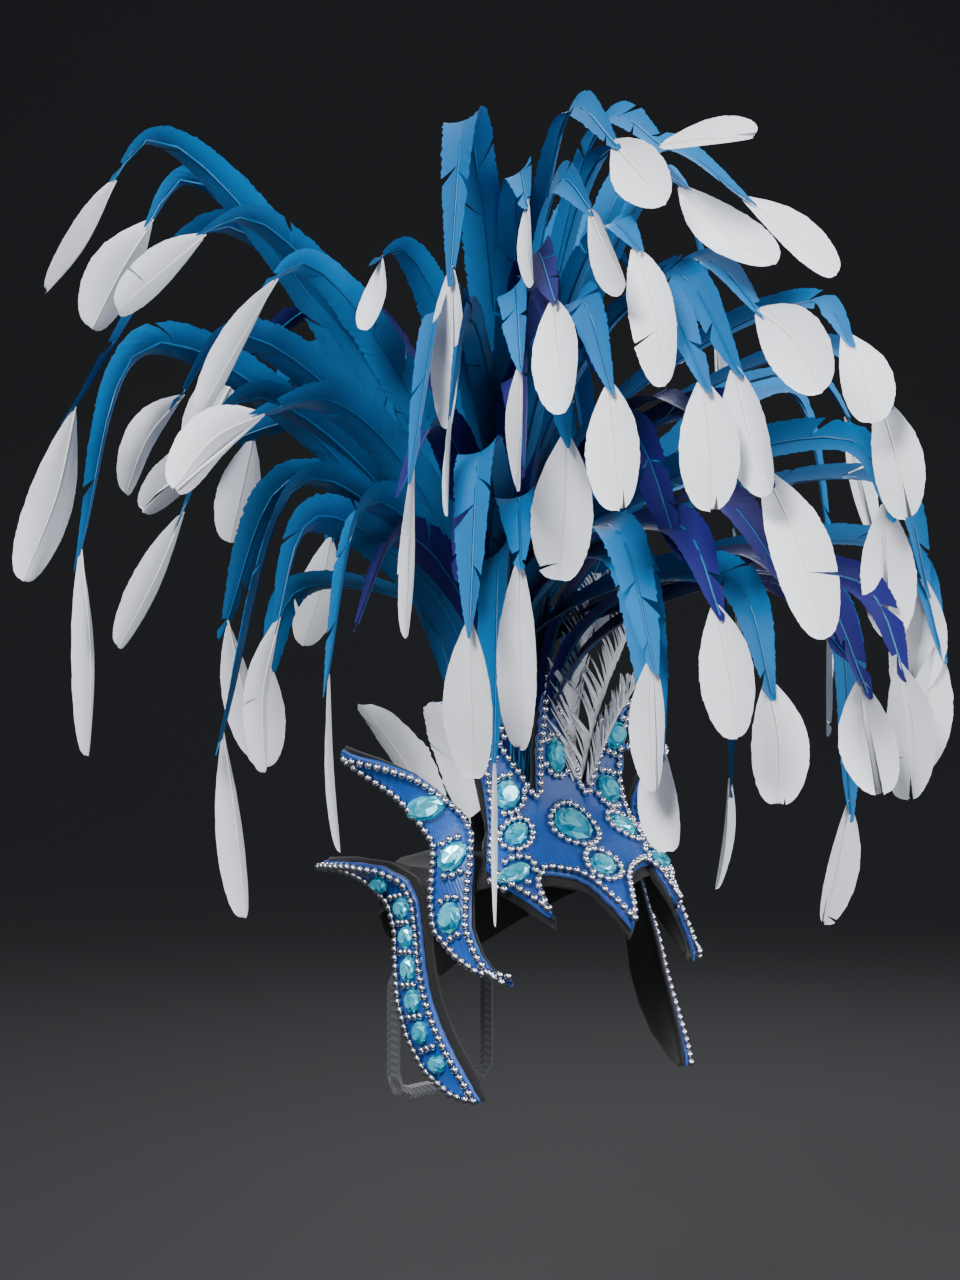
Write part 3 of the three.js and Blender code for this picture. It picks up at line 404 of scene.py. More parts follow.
def tint(tree, shader, factor, dark, bright):
    """Base colour between two colours, steered by a factor socket."""
    mix = add_node(tree, "ShaderNodeMix", {"data_type": "RGBA"}, {0: factor, 6: dark, 7: bright})
    tree.links.new(mix.outputs[2], shader.inputs["Base Color"])


def object_place(tree):
    return add_node(tree, "ShaderNodeTexCoord").outputs["Object"]


def noise(tree, scale, detail=2.0, roughness=0.5):
    """Factor of a noise that is fixed to the object."""
    made = add_node(tree, "ShaderNodeTexNoise", inputs={
        "Vector": object_place(tree), "Scale": scale, "Detail": detail, "Roughness": roughness})
    return made.outputs["Fac"]


def darker(colour, share):
    return (colour[0] * share, colour[1] * share, colour[2] * share, 1.0)


def satin_material():
    # Polyester satin glued over felt: a broad soft shine, fine threads, small pulls.
    made, tree, shader = new_material("glued polyester satin", {
        "Roughness": 0.4, "Sheen Weight": 0.12, "Sheen Roughness": 0.4, "IOR": 1.5,
        "Anisotropic": 0.4})
    base = colours().satin
    tint(tree, shader, noise(tree, 55.0, 3.0), darker(base, 0.6), tuple(base))
    # threads every 1 mm, drawn coarser than the real ones so that they show
    threads = add_node(tree, "ShaderNodeTexWave", {"wave_type": "BANDS"}, {
        "Vector": object_place(tree), "Scale": 300.0, "Distortion": 1.5, "Detail": 2.0})
    both = add_node(tree, "ShaderNodeMath", {"operation": "MULTIPLY_ADD"}, {
        0: threads.outputs["Fac"], 1: 0.25, 2: noise(tree, 160.0)})
    join_bump(tree, shader, both.outputs["Value"], 0.5, 0.0008)
    return made


def felt_material(name, colour, shine):
    # Needled felt: fibres in every direction give a matt, fuzzy edge.
    made, tree, shader = new_material(name, {
        "Roughness": 0.95, "Sheen Weight": shine, "Sheen Roughness": 0.6})
    fibres = noise(tree, 900.0, 4.0, 0.7)
    tint(tree, shader, fibres, darker(colour, 0.55), tuple(colour))
    join_bump(tree, shader, fibres, 0.6, 0.0006)
    return made


def knit_material():
    # Knitted tube over foam: slanting ribs about 3 mm apart on a dull grey yarn.
    made, tree, shader = new_material("knitted tube over foam", {
        "Roughness": 0.85, "Sheen Weight": 0.3})
    ribs = add_node(tree, "ShaderNodeTexWave", {"bands_direction": "DIAGONAL"}, {
        "Vector": object_place(tree), "Scale": 130.0, "Distortion": 0.6})
    grey = colours().grey
    tint(tree, shader, ribs.outputs["Fac"], darker(grey, 0.6), tuple(grey))
    join_bump(tree, shader, ribs.outputs["Fac"], 0.5, 0.0005)
    return made


def bead_material():
    # Vacuum-plated plastic: a bright mirror with faint wear in its roughness.
    made, tree, shader = new_material("vacuum-plated bead", {
        "Base Color": tuple(colours().silver), "Metallic": 1.0, "Roughness": 0.16})
    spread = add_node(tree, "ShaderNodeMapRange", inputs={
        "Value": noise(tree, 400.0), "To Min": 0.08, "To Max": 0.28})
    tree.links.new(spread.outputs["Result"], shader.inputs["Roughness"])
    return made


def stone_material():
    # Foil-backed acrylic under a clear coat: the facets each carry a painted reflection, dark or
    # light at random, mottled by cells like a crinkled foil.
    made, tree, shader = new_material("foil-backed acrylic", {
        "Roughness": 0.12, "Metallic": 0.35, "IOR": 1.49, "Coat Weight": 0.8,
        "Coat Roughness": 0.03})
    tone = add_node(tree, "ShaderNodeAttribute", {"attribute_name": "painted_facet_reflection"})
    foil = add_node(tree, "ShaderNodeTexVoronoi", inputs={
        "Vector": object_place(tree), "Scale": 210.0})
    shade = add_node(tree, "ShaderNodeMath", {"operation": "MULTIPLY_ADD", "use_clamp": True}, {
        0: foil.outputs["Distance"], 1: 0.22, 2: tone.outputs["Fac"]})
    base = colours().stone
    # The ramp paints the reflections: dark turquoise, then the stone's own colour, then a pale
    # painted highlight.
    ramp = add_node(tree, "ShaderNodeValToRGB", inputs={"Fac": shade.outputs["Value"]})
    ramp.color_ramp.elements[0].color = darker(base, 0.3)
    ramp.color_ramp.elements[1].color = from_hex("7FEAF0")
    middle = ramp.color_ramp.elements.new(0.5)
    middle.color = tuple(base)
    tree.links.new(ramp.outputs["Color"], shader.inputs["Base Color"])
    return made


def barb_material(name, dark, bright, roughness, sheen):
    # Dyed or bleached feather: fine barbs run off the quill and part at the edge. Drawn barb lines
    # and a per-point lightness, random and with painted shade towards the foot, steer its colour
    # from dark to bright.
    made, tree, shader = new_material(name, {
        "Roughness": roughness, "Sheen Weight": sheen, "Sheen Roughness": 0.35,
        "Specular IOR Level": 0.2})
    tone = add_node(tree, "ShaderNodeAttribute", {"attribute_name": "tone"})
    barbs = add_node(tree, "ShaderNodeUVMap")
    lines = add_node(tree, "ShaderNodeTexWave", {"bands_direction": "X"}, {
        "Vector": barbs.outputs["UV"], "Scale": 1.2, "Distortion": 1.2, "Detail": 2.0,
        "Detail Scale": 2.0})
    shade = add_node(tree, "ShaderNodeMath", {"operation": "MULTIPLY_ADD", "use_clamp": True}, {
        0: lines.outputs["Fac"], 1: 0.3, 2: tone.outputs["Fac"]})
    tint(tree, shader, shade.outputs["Value"], dark, bright)
    join_bump(tree, shader, lines.outputs["Fac"], 0.35, 0.0005)
    return made


def quill_material(name, dark, bright):
    # Keratin quill: smooth, slightly glossy, a little paler than its barbs.
    made, tree, shader = new_material(name, {"Roughness": 0.35, "IOR": 1.54})
    tint(tree, shader, noise(tree, 40.0), dark, bright)
    return made


def paper_material():
    # Seamless studio paper: matt grey with the faintest mottle.
    made, tree, shader = new_material("grey studio paper", {"Roughness": 0.9})
    tint(tree, shader, noise(tree, 3.0), from_hex("131417"), from_hex("16171A"))
    return made


def backdrop_mesh():
    """Studio paper: flat below the headdress, swept up into a wall behind it."""
    sweep = np.linspace(0, math.pi / 2, 17)
    depth = np.concatenate([[-PAPER_NEAR], PAPER_FAR + PAPER_BEND * np.sin(sweep),
                            [PAPER_FAR + PAPER_BEND]])
    rise = np.concatenate([[0], PAPER_BEND * (1 - np.cos(sweep)), [PAPER_TOP]])
    rise -= sizes().floor_drop
    ahead = np.array((math.sin(VIEW_TURN), math.cos(VIEW_TURN), 0))
    aside = np.array((math.cos(VIEW_TURN), -math.sin(VIEW_TURN), 0))
    middle = ahead * depth[:, None] + np.array((0, 0, 1)) * rise[:, None]
    edges = [middle + aside * PAPER_HALF_WIDTH, middle - aside * PAPER_HALF_WIDTH]
    points = np.stack(edges, axis=1).reshape(-1, 3)
    index = np.arange(len(points)).reshape(-1, 2)
    quads = np.stack([index[:-1, 0], index[1:, 0], index[1:, 1], index[:-1, 1]], axis=-1)
    return mesh_object("backdrop", points, quads)


def out_direction(turn):
    """Unit vectors away from the head's middle, for a turn or an array of turns."""
    angle = np.radians(turn)
    return np.stack([-np.sin(angle), -np.cos(angle), np.zeros_like(angle)], axis=-1)


def along(table, place, column):
    """One column of a table at places along its first one, eased between the rows."""
    key = table[:, 0]
    values = table[:, column]
    k = np.clip(np.searchsorted(key, place, side="right") - 1, 0, len(key) - 2)
    before = np.maximum(k - 1, 0)
    after = np.minimum(k + 2, len(key) - 1)
    span = key[k + 1] - key[k]
    t = np.clip((place - key[k]) / span, 0, 1)
    slope_a = (values[k + 1] - values[before]) / (key[k + 1] - key[before]) * span
    slope_b = (values[after] - values[k]) / (key[after] - key[k]) * span
    rise = values[k + 1] - values[k]
    bend = 3 * rise - 2 * slope_a - slope_b
    twist = slope_a + slope_b - 2 * rise
    return values[k] + t * (slope_a + t * (bend + t * twist))


def plan_points(turn, height):
    share = height / SPIRE_RISE
    angle = np.radians(turn)
    facing = np.cos(angle) > 0
    front = along(SECTIONS, share, 1) * BROW_REACH
    side = along(SECTIONS, share, 2) * CROWN_HALF_WIDTH
    power = np.where(facing, along(SECTIONS, share, 3), 2.0)
    depth = np.where(facing, front, NAPE_REACH)
    across = np.abs(np.sin(angle)) / side
    ahead = np.abs(np.cos(angle)) / depth
    reach = (across ** power + ahead ** power) ** (-1 / power)
    points = out_direction(turn) * reach[..., None]
    points[..., 2] = height
    return points


def crown_points(turn, height, offset):
    """Points of the crown at turns and heights, stood off the head."""
    turn, height, offset = np.broadcast_arrays(
        np.asarray(turn, float), np.asarray(height, float), np.asarray(offset, float))
    turn_step = 0.5
    height_step = 0.5 * MM
    around = plan_points(turn + turn_step, height) - plan_points(turn - turn_step, height)
    upward = plan_points(turn, height + height_step) - plan_points(turn, height - height_step)
    normal = np.cross(upward, around)
    normal /= np.linalg.norm(normal, axis=-1, keepdims=True)
    inward = np.sum(normal * out_direction(turn), axis=-1) < 0
    normal[inward] *= -1
    return plan_points(turn, height) + normal * offset[..., None]


def rib_table(ribs, sign=1):
    """Ribs as an array: turn A, height A, turn B, height B, flare."""
    return np.array([(sign * a, height_a, sign * b, height_b, *(flare or (0,)))
                     for a, height_a, b, height_b, *flare in ribs], float)


def select_only(obj):
    bpy.ops.object.select_all(action="DESELECT")
    obj.select_set(True)
    bpy.context.view_layer.objects.active = obj


def edit_all(obj, step, **settings):
    """Runs one operator of edit mode on a whole mesh."""
    select_only(obj)
    bpy.ops.object.mode_set(mode="EDIT")
    bpy.ops.mesh.select_all(action="SELECT")
    step(**settings)
    bpy.ops.object.mode_set(mode="OBJECT")


def face_outward(obj):
    edit_all(obj, bpy.ops.mesh.normals_make_consistent, inside=False)


def finish_piece(obj, name, materials, nodes=(), marks=None):
    """Names a piece, gives it its finish and joins it to the frame."""
    obj.name = name
    obj.data.name = name
    obj.data.materials.clear()
    for material in materials:
        obj.data.materials.append(material)
    if marks is not None:
        obj.data.polygons.foreach_set("material_index", marks.astype(np.int32))
    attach(obj, "root")
    if nodes:
        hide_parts(*nodes)
    return obj


def apply_modifiers(obj):
    select_only(obj)
    for modifier in list(obj.modifiers):
        bpy.ops.object.modifier_apply(modifier=modifier.name)


def mesh_object(name, points, faces, uv=None, tone=None, smooth=True):
    """Object from arrays: points, equal-sized faces, and per-point uv and tone."""
    mesh = bpy.data.meshes.new(name)
    corners = faces.shape[1]
    mesh.vertices.add(len(points))
    mesh.vertices.foreach_set("co", points.astype(np.float32).ravel())
    mesh.loops.add(faces.size)
    mesh.loops.foreach_set("vertex_index", faces.astype(np.int32).ravel())
    mesh.polygons.add(len(faces))
    mesh.polygons.foreach_set("loop_start", np.arange(0, faces.size, corners, dtype=np.int32))
    mesh.update(calc_edges=True)
    mesh.polygons.foreach_set("use_smooth", np.full(len(faces), smooth))
    if uv is not None:
        layer = mesh.uv_layers.new(name="UVMap")
        layer.data.foreach_set("uv", uv[faces.ravel()].astype(np.float32).ravel())
    if tone is not None:
        attribute = mesh.attributes.new("tone", "FLOAT", "POINT")
        attribute.data.foreach_set("value", tone.astype(np.float32))
    mesh.validate()
    made = bpy.data.objects.new(name, mesh)
    bpy.context.collection.objects.link(made)
    return made


def rib_places(ribs, fine):
    """Ribs filled in between, as an array with a row for each."""
    at = np.linspace(0, len(ribs) - 1, (len(ribs) - 1) * fine + 1)
    columns = [np.interp(at, np.arange(len(ribs)), ribs[:, k]) for k in range(5)]
    return np.stack(columns, axis=1)


def ribbed_sheet(ribs, fine, rows, offset_of, overhang=0.0):
    """Grid laid over the ribs; offset_of(share across, share along) gives its rise."""
    places = rib_places(ribs, fine)
    bpy.ops.object.select_all(action="DESELECT")
    bpy.ops.mesh.primitive_grid_add(
        x_subdivisions=rows, y_subdivisions=len(places) - 1, size=2, location=(0, 0, 0))
    grid = bpy.context.object
    flat = np.empty(len(grid.data.vertices) * 3, np.float32)
    grid.data.vertices.foreach_get("co", flat)
    flat = flat.reshape(-1, 3)
    across = (flat[:, 0] + 1) / 2
    row = np.rint((flat[:, 1] + 1) / 2 * (len(places) - 1)).astype(int)
    rib = places[row]
    length = np.hypot((rib[:, 2] - rib[:, 0]) * TURN_LENGTH * CROWN_HALF_WIDTH,
                      (rib[:, 3] - rib[:, 1]) * SPIRE_RISE)
    share = np.where(across < 1e-6, -overhang / np.maximum(length, 3 * overhang + MM), across)
    turn = rib[:, 0] + (rib[:, 2] - rib[:, 0]) * share
    height = (rib[:, 1] + (rib[:, 3] - rib[:, 1]) * share) * SPIRE_RISE
    end = row / (len(places) - 1)
    offset = offset_of(across, end) + rib[:, 4] * BROW_REACH
    points = crown_points(turn, height, offset)
    grid.data.vertices.foreach_set("co", points.astype(np.float32).ravel())
    grid.data.update()
    face_outward(grid)
    faces = grid.data.polygons
    out = sum(face.normal.dot(Vector((face.center.x, face.center.y, 0))) for face in faces)
    if out < 0:
        edit_all(grid, bpy.ops.mesh.flip_normals)
    bpy.ops.object.shade_smooth()
    return grid


def padded_rise(across, end):
    """Pad of a plate: flat-topped, rounded and puckered towards its glued edges."""
    edge = np.minimum(np.minimum(across, 1 - across), np.minimum(end, 1 - end) * 3) * 2
    crown = 1 - (1 - np.clip(edge, 0, 1)) ** 5
    wave = np.sin(end * PUCKER_WAVES[0] + across * PUCKER_WAVES[1])
    pucker = PUCKER * wave * (1 - np.clip(edge * 2, 0, 1))
    return PLATE_INNER + PLATE_EDGE + (PLATE_THICKNESS - PLATE_EDGE) * crown + pucker


def add_wall(obj, thickness, rim_material=0):
    wall = obj.modifiers.new("wall", "SOLIDIFY")
    wall.thickness = thickness
    wall.offset = -1
    wall.material_offset_rim = rim_material


def make_plate(node, ribs, rows, satin, felt):
    plate = ribbed_sheet(ribs, CLOTH_STEPS, rows, padded_rise)
    add_wall(plate, PLATE_EDGE, 1)
    finish_piece(plate, node + "_cloth", [satin, felt], [node])
    apply_modifiers(plate)


def make_lining(node, ribs, rows, overhang, felt):
    def rise(across, end):
        return np.full_like(across, LINING_THICKNESS)

    lining = ribbed_sheet(ribs, FELT_STEPS, rows, rise, overhang)
    add_wall(lining, LINING_THICKNESS)
    finish_piece(lining, node + "_felt", [felt], [node])
    apply_modifiers(lining)


def plate_sets():
    """Every beaded plate: key, node suffix, ribs, rows across and lining overhang."""
    front = np.concatenate([rib_table(FRONT_RIBS[:0:-1], -1), rib_table(FRONT_RIBS)])
    sets = [("front", "", front, FRONT_ROWS, LINING_SHOW)]
    for side, sign in (("_right", 1), ("_left", -1)):
        sets.append(("side", side, rib_table(SIDE_RIBS, sign), SIDE_ROWS, 0.0))
        sets.append(("temple", side, rib_table(TEMPLE_RIBS, sign), SIDE_ROWS, LINING_SHOW))
    return sets


def edge_outline(ribs):
    """Outline of a plate, flat: metres round the crown, height and flare."""
    points = np.concatenate([ribs[:, [0, 1, 4]], ribs[::-1, [2, 3, 4]]])
    points[:, 0] *= TURN_LENGTH * CROWN_HALF_WIDTH
    points[:, 1] *= SPIRE_RISE
    points[:, 2] *= BROW_REACH
    return points


def inset_outline(points, inset, back):
    """Closed row inside an outline; a sharp point becomes two points, each kept back."""
    sharp = -0.2  # cosine of the turn from which a corner counts as sharp
    least = 0.6  # keeps the row from running far out at a narrow corner
    x, y = points[:, 0], points[:, 1]
    side = np.sign(np.sum(x * np.roll(y, -1) - np.roll(x, -1) * y))
    row = []
    for i, point in enumerate(points):
        before = points[i - 1][:2]
        after = points[(i + 1) % len(points)][:2]
        inward = (point[:2] - before) / np.linalg.norm(point[:2] - before)
        onward = (after - point[:2]) / np.linalg.norm(after - point[:2])
        normal_in = np.array([-inward[1], inward[0]]) * side
        normal_on = np.array([-onward[1], onward[0]]) * side
        cosine = float(inward @ onward)
        if cosine > sharp:
            middle = (normal_in + normal_on) / np.linalg.norm(normal_in + normal_on)
            miter = inset / max(math.sqrt((1 + cosine) / 2), least)
            row.append((*(point[:2] + middle * miter), point[2]))
        else:
            row.append((*(point[:2] - inward * back + normal_in * inset), point[2]))
            row.append((*(point[:2] + onward * back + normal_on * inset), point[2]))
    return np.array(row)


def spaced(points, pitch):
    """Places at an even pitch along a closed line of points in space."""
    points = np.concatenate([points, points[:1]])
    steps = np.linalg.norm(np.diff(points, axis=0), axis=1)
    reach = np.concatenate([[0], np.cumsum(steps)])
    count = max(int(round(reach[-1] / pitch)), 2)
    at = np.linspace(0, reach[-1], count, endpoint=False)
    return np.stack([np.interp(at, reach, points[:, k]) for k in range(3)], axis=1)


def dense(points, factor):
    """Closed row with more points on each of its straight pieces."""
    closed = np.concatenate([points, points[:1]])
    at = np.linspace(0, len(points), len(points) * factor, endpoint=False)
    return np.stack(
        [np.interp(at, np.arange(len(closed)), closed[:, k]) for k in range(points.shape[1])],
        axis=1)


def bead_height():
    """Height of the beads' middles over the head."""
    return PLATE_OUTER + sizes().bead * BEAD_STAND


def edge_beads(ribs):
    row = inset_outline(edge_outline(ribs), BEAD_INSET, sizes().bead * BEAD_SPLIT)
    row = dense(row, EDGE_SAMPLES)
    turn = row[:, 0] / (TURN_LENGTH * CROWN_HALF_WIDTH)
    line = crown_points(turn, row[:, 1], row[:, 2] + bead_height())
    return spaced(line, sizes().bead_pitch)


def stone_place(stone, across, up, rise):
    """Points of a stone's own plane, laid on the crown."""
    _, turn, height, _, _, lean, _, flare = stone
    middle = plan_points(np.array(float(turn)), np.array(height * SPIRE_RISE))
    turn_length = TURN_LENGTH * float(np.hypot(middle[0], middle[1]))
    slant = math.radians(lean)
    turns = turn + (across * math.cos(slant) + up * math.sin(slant)) / turn_length
    heights = height * SPIRE_RISE + up * math.cos(slant) - across * math.sin(slant)
    return crown_points(turns, heights, PLATE_OUTER + flare * BROW_REACH + rise)


def ring_beads(stone):
    angle = np.linspace(0, 2 * math.pi, LINE_SAMPLES, endpoint=False)
    reach = sizes().bead * RING_GAP
    across = np.cos(angle) * (stone[3] * STONE_SIZE / 2 + reach)
    up = np.sin(angle) * (stone[4] * STONE_SIZE / 2 + reach)
    line = stone_place(stone, across, up, sizes().bead * BEAD_STAND)
    return spaced(line, sizes().bead_pitch)


def bar_beads(ribs, stones):
    """Short rows across a temple strip, between its stones."""
    middle = (ribs[:, 1] + ribs[:, 3]) / 2
    steps = BAR_BEADS + 2
    bars = []
    for upper, lower in zip(stones, stones[1:]):
        share = (upper[2] + lower[2]) / 2
        turns = [np.interp(share, middle, ribs[:, k]) for k in (0, 2)]
        inner = np.linspace(turns[0], turns[1], steps)[1:-1]
        tilt = np.interp(share, middle, ribs[:, 3] - ribs[:, 1])
        heights = (share + tilt * (np.linspace(0, 1, steps)[1:-1] - 0.5)) * SPIRE_RISE
        bars.append(crown_points(inner, heights, bead_height()))
    return np.concatenate(bars)


def keep_clear(new, old, distance):
    """Drops the new beads that would sink into the old ones."""
    gap = np.linalg.norm(new[:, None, :] - old[None, :, :], axis=2).min(axis=1)
    return new[gap > distance]


def from_lowest(corners):
    """A face's corners in the same turn, from the lowest one on.

    Sorted by it, the triangles of a bead come in the same order each run."""
    corners = list(corners)
    first = corners.index(min(corners))
    return corners[first:] + corners[:first]


def bead_mesh(name, centres, material, nodes):
    bpy.ops.object.select_all(action="DESELECT")
    bpy.ops.mesh.primitive_uv_sphere_add(
        segments=10, ring_count=7, radius=sizes().bead / 2, location=(0, 0, 0))
    pattern = bpy.context.object
    edit_all(pattern, bpy.ops.mesh.quads_convert_to_tris)
    count = len(pattern.data.vertices)
    local = np.empty(count * 3, np.float32)
    pattern.data.vertices.foreach_get("co", local)
    faces = np.array(sorted(from_lowest(face.vertices) for face in pattern.data.polygons))
    bpy.data.objects.remove(pattern)
    points = (local.reshape(1, -1, 3) + centres[:, None, :]).reshape(-1, 3)
    shift = (np.arange(len(centres)) * count)[:, None, None]
    joined = (faces[None] + shift).reshape(-1, 3)
    made = mesh_object(name, points, joined)
    return finish_piece(made, name, [material], nodes)


def stone_rings(stone):
    """Rings of a cut stone, from its girdle's foot to its table."""
    rings = []
    for share, rise, turned in STONE_CUT:
        angle = (np.arange(STONE_FACETS) + 0.5 * turned) * 2 * math.pi / STONE_FACETS
        across = np.cos(angle) * stone[3] * STONE_SIZE / 2 * share
        up = np.sin(angle) * stone[4] * STONE_SIZE / 2 * share
        rings.append(stone_place(stone, across, up, rise * sizes().stone_rise))
    return rings


def make_stone(stone, name, material, rng):
    rings = stone_rings(stone)
    facets = STONE_FACETS
    foot = rings[0].mean(axis=0)
    table = rings[-1].mean(axis=0)
    points = np.concatenate(rings + [foot[None], table[None]])
    faces = []
    for level in range(len(rings) - 1):
        low, high = level * facets, (level + 1) * facets
        for j in range(facets):
            k = (j + 1) % facets
            faces.append((low + j, low + k, high + j))
            faces.append((low + k, high + k, high + j))
    last = (len(rings) - 1) * facets
    for j in range(facets):
        k = (j + 1) % facets
        faces.append((k, j, len(points) - 2))
        faces.append((last + j, last + k, len(points) - 1))
    made = mesh_object(name, points, np.array(faces), smooth=False)
    face_outward(made)
    # Painted reflections: the facets get a random lightness each, and the foot and the table a
    # middle to light one.
    tone = np.clip(rng.normal(0.4, 0.22, len(made.data.polygons)), 0, 1)
    tone[-2 * facets:] = 0.42 + 0.3 * rng.random(2 * facets)
    attribute = made.data.attributes.new("painted_facet_reflection", "FLOAT", "FACE")
    attribute.data.foreach_set("value", tone.astype(np.float32))
    finish_piece(made, name, [material], [name.replace("_cut", "")])


def placed_stones(stones, side, sign, numbered):
    placed = []
    for i, stone in enumerate(stones):
        node = stone[0] + side
        if numbered:
            node = f"temple_stone{side}_{i + 1}"
        placed.append((node, stone[1] * sign, *stone[2:5], stone[5] * sign, *stone[6:]))
    return placed


def all_stones():
    """Every stone with its own node's name, keyed by the plate that carries it."""
    stones = {"front": list(placed_stones(MIDDLE_STONES, "", 1, False))}
    for side, sign in (("_right", 1), ("_left", -1)):
        stones["front"] += placed_stones(PANEL_STONES, side, sign, False)
        stones["side" + side] = placed_stones(SIDE_STONES, side, sign, False)
        stones["temple" + side] = placed_stones(TEMPLE_STONES, side, sign, True)
    return stones


def smooth_path(anchors, count):
    """Even points on a curve through the anchors (centripetal Catmull-Rom)."""
    anchors = np.asarray(anchors, float)
    padded = np.concatenate([[2 * anchors[0] - anchors[1]], anchors,
                             [2 * anchors[-1] - anchors[-2]]])
    knots = np.concatenate([[0], np.cumsum(
        np.linalg.norm(np.diff(padded, axis=0), axis=1) ** 0.5)])
    pieces = []
    for i in range(1, len(padded) - 2):
        t = np.linspace(knots[i], knots[i + 1], CURVE_SAMPLES,
                        endpoint=i == len(padded) - 3)[:, None]
        p = padded[i - 1:i + 3]
        k = knots[i - 1:i + 3]
        a = [(k[j + 1] - t) / (k[j + 1] - k[j]) * p[j]
             + (t - k[j]) / (k[j + 1] - k[j]) * p[j + 1] for j in range(3)]
        b = [(k[j + 2] - t) / (k[j + 2] - k[j]) * a[j]
             + (t - k[j]) / (k[j + 2] - k[j]) * a[j + 1] for j in range(2)]
        pieces.append((k[2] - t) / (k[2] - k[1]) * b[0] + (t - k[1]) / (k[2] - k[1]) * b[1])
    line = np.concatenate(pieces)
    reach = np.concatenate([[0], np.cumsum(np.linalg.norm(np.diff(line, axis=0), axis=1))])
    at = np.linspace(0, reach[-1], count)
    return np.stack([np.interp(at, reach, line[:, k]) for k in range(3)], axis=1), reach[-1]


class Strand:
    """A quill's line with its own across and up directions."""

    def __init__(self, anchors, lateral, roll, twist=0.0, count=90):
        self.points, self.length = smooth_path(anchors, count)
        self.travel = np.gradient(self.points, axis=0)
        self.travel /= np.linalg.norm(self.travel, axis=1, keepdims=True)
        in_plane = np.cross(self.travel, lateral)
        in_plane /= np.linalg.norm(in_plane, axis=1, keepdims=True)
        angle = np.radians(roll + twist * np.linspace(0, 1, count))[:, None]
        self.across = lateral * np.cos(angle) + in_plane * np.sin(angle)
        self.up = np.cross(self.across, self.travel)
        self.share = np.linspace(0, 1, count)

    def at(self, share, field):
        values = getattr(self, field)
        return np.stack([np.interp(share, self.share, values[:, k]) for k in range(3)], axis=-1)


def vane(strand, width_of, spacing, barbs, rng):
    """Barbs on both sides of a strand, gathered in clumps that part at the edge.

    Returns points, quads, uv and tone."""
    ragged = barbs["ragged"]
    count = max(int((1 - barbs["start"]) * strand.length / spacing), 6)
    base = np.linspace(barbs["start"], 1, count + 1)
    parts = []
    shift = 0
    feather_tone = rng.uniform(0.25, 0.6)
    for side in (-1.0, 1.0):
        done = 0
        while done < count:
            last = min(done + int(rng.integers(*barbs["run"])), count)
            own = base[done:last + 1]
            pull = barbs["clump"] * rng.uniform(0.2, 1.0)
            lag = rng.normal(0, BARB_LAG)
            reach = width_of(own) * (1 + rng.normal(0, ragged) + rng.normal(0, ragged, len(own)))
            lean = (barbs["forward"] * np.minimum(reach / reach.max(), 1) + lag) / strand.length
            left = np.maximum(1 - own, 1e-4)
            # a barb leans on along the quill, but never past the feather's end
            tips = 1 - left * np.exp(-lean / left) + pull * (own.mean() - own)
            share = own[:, None] + (tips - own)[:, None] * BARB_STEPS ** 1.2
            share = np.clip(share, 0, 1)
            spread = reach[:, None] * BARB_STEPS * side
            lift = rng.normal(0, BARB_LIFT)
            bow = -barbs["camber"] * reach[:, None] * BARB_STEPS ** 2 + lift * BARB_STEPS
            points = (strand.at(share, "points")
                      + strand.at(share, "across") * spread[..., None]
                      + strand.at(share, "up") * bow[..., None])
            index = np.arange(share.size).reshape(share.shape) + shift
            quads = np.stack([index[:-1, :-1], index[1:, :-1], index[1:, 1:], index[:-1, 1:]],
                             axis=-1).reshape(-1, 4)
            if side < 0:
                quads = quads[:, ::-1]
            across = np.broadcast_to(BARB_STEPS, share.shape)
            along_quill = np.broadcast_to(own[:, None] * strand.length / (2 * MM), share.shape)
            # Lightness of each point: random per feather and per clump, a little darker towards the
            # quill, and painted shade that darkens the vane strongly towards its foot.
            tone = np.full(share.size, feather_tone + rng.normal(0, 0.07))
            tone -= 0.12 * (1 - across.ravel())
            tone += np.interp(share.ravel(), [0, 0.35, 0.6, 1], [-0.45, -0.25, 0.02, 0.08])
            uv = np.stack([along_quill, across], axis=-1).reshape(-1, 2)
            parts.append((points.reshape(-1, 3), quads, uv, tone))
            shift += share.size
            done = last
    return [np.concatenate([part[k] for part in parts]) for k in range(4)]


def quill(strand, end, thick, thin):
    """Three-sided quill along a strand, from its foot."""
    share = np.linspace(0, end, 26)
    radius = thick + (thin - thick) * np.linspace(0, 1, len(share))
    middle = strand.at(share, "points")
    across = strand.at(share, "across")
    up = strand.at(share, "up")
    angle = np.array([0.5, 7 / 6, 11 / 6]) * math.pi
    rings = (middle[:, None] + across[:, None] * (np.cos(angle)[None, :, None])
             * radius[:, None, None]
             + up[:, None] * (np.sin(angle)[None, :, None]) * radius[:, None, None])
    index = np.arange(len(share) * 3).reshape(-1, 3)
    following = np.roll(index, -1, axis=1)
    quads = np.stack([index[:-1], following[:-1], following[1:], index[1:]],
                     axis=-1).reshape(-1, 4)
    uv = np.zeros((len(share) * 3, 2))
    return [rings.reshape(-1, 3), quads, uv, np.full(len(share) * 3, 0.5)]


def gather(parts):
    """Joins lists of points, quads, uv and tone; also marks each face's material."""
    shift = 0
    points, quads, uv, tone, marks = [], [], [], [], []
    for (p, q, u, t), mark in parts:
        points.append(p)
        quads.append(q + shift)
        uv.append(u)
        tone.append(t)
        marks.append(np.full(len(q), mark))
        shift += len(p)
    return [np.concatenate(values) for values in (points, quads, uv, tone, marks)]


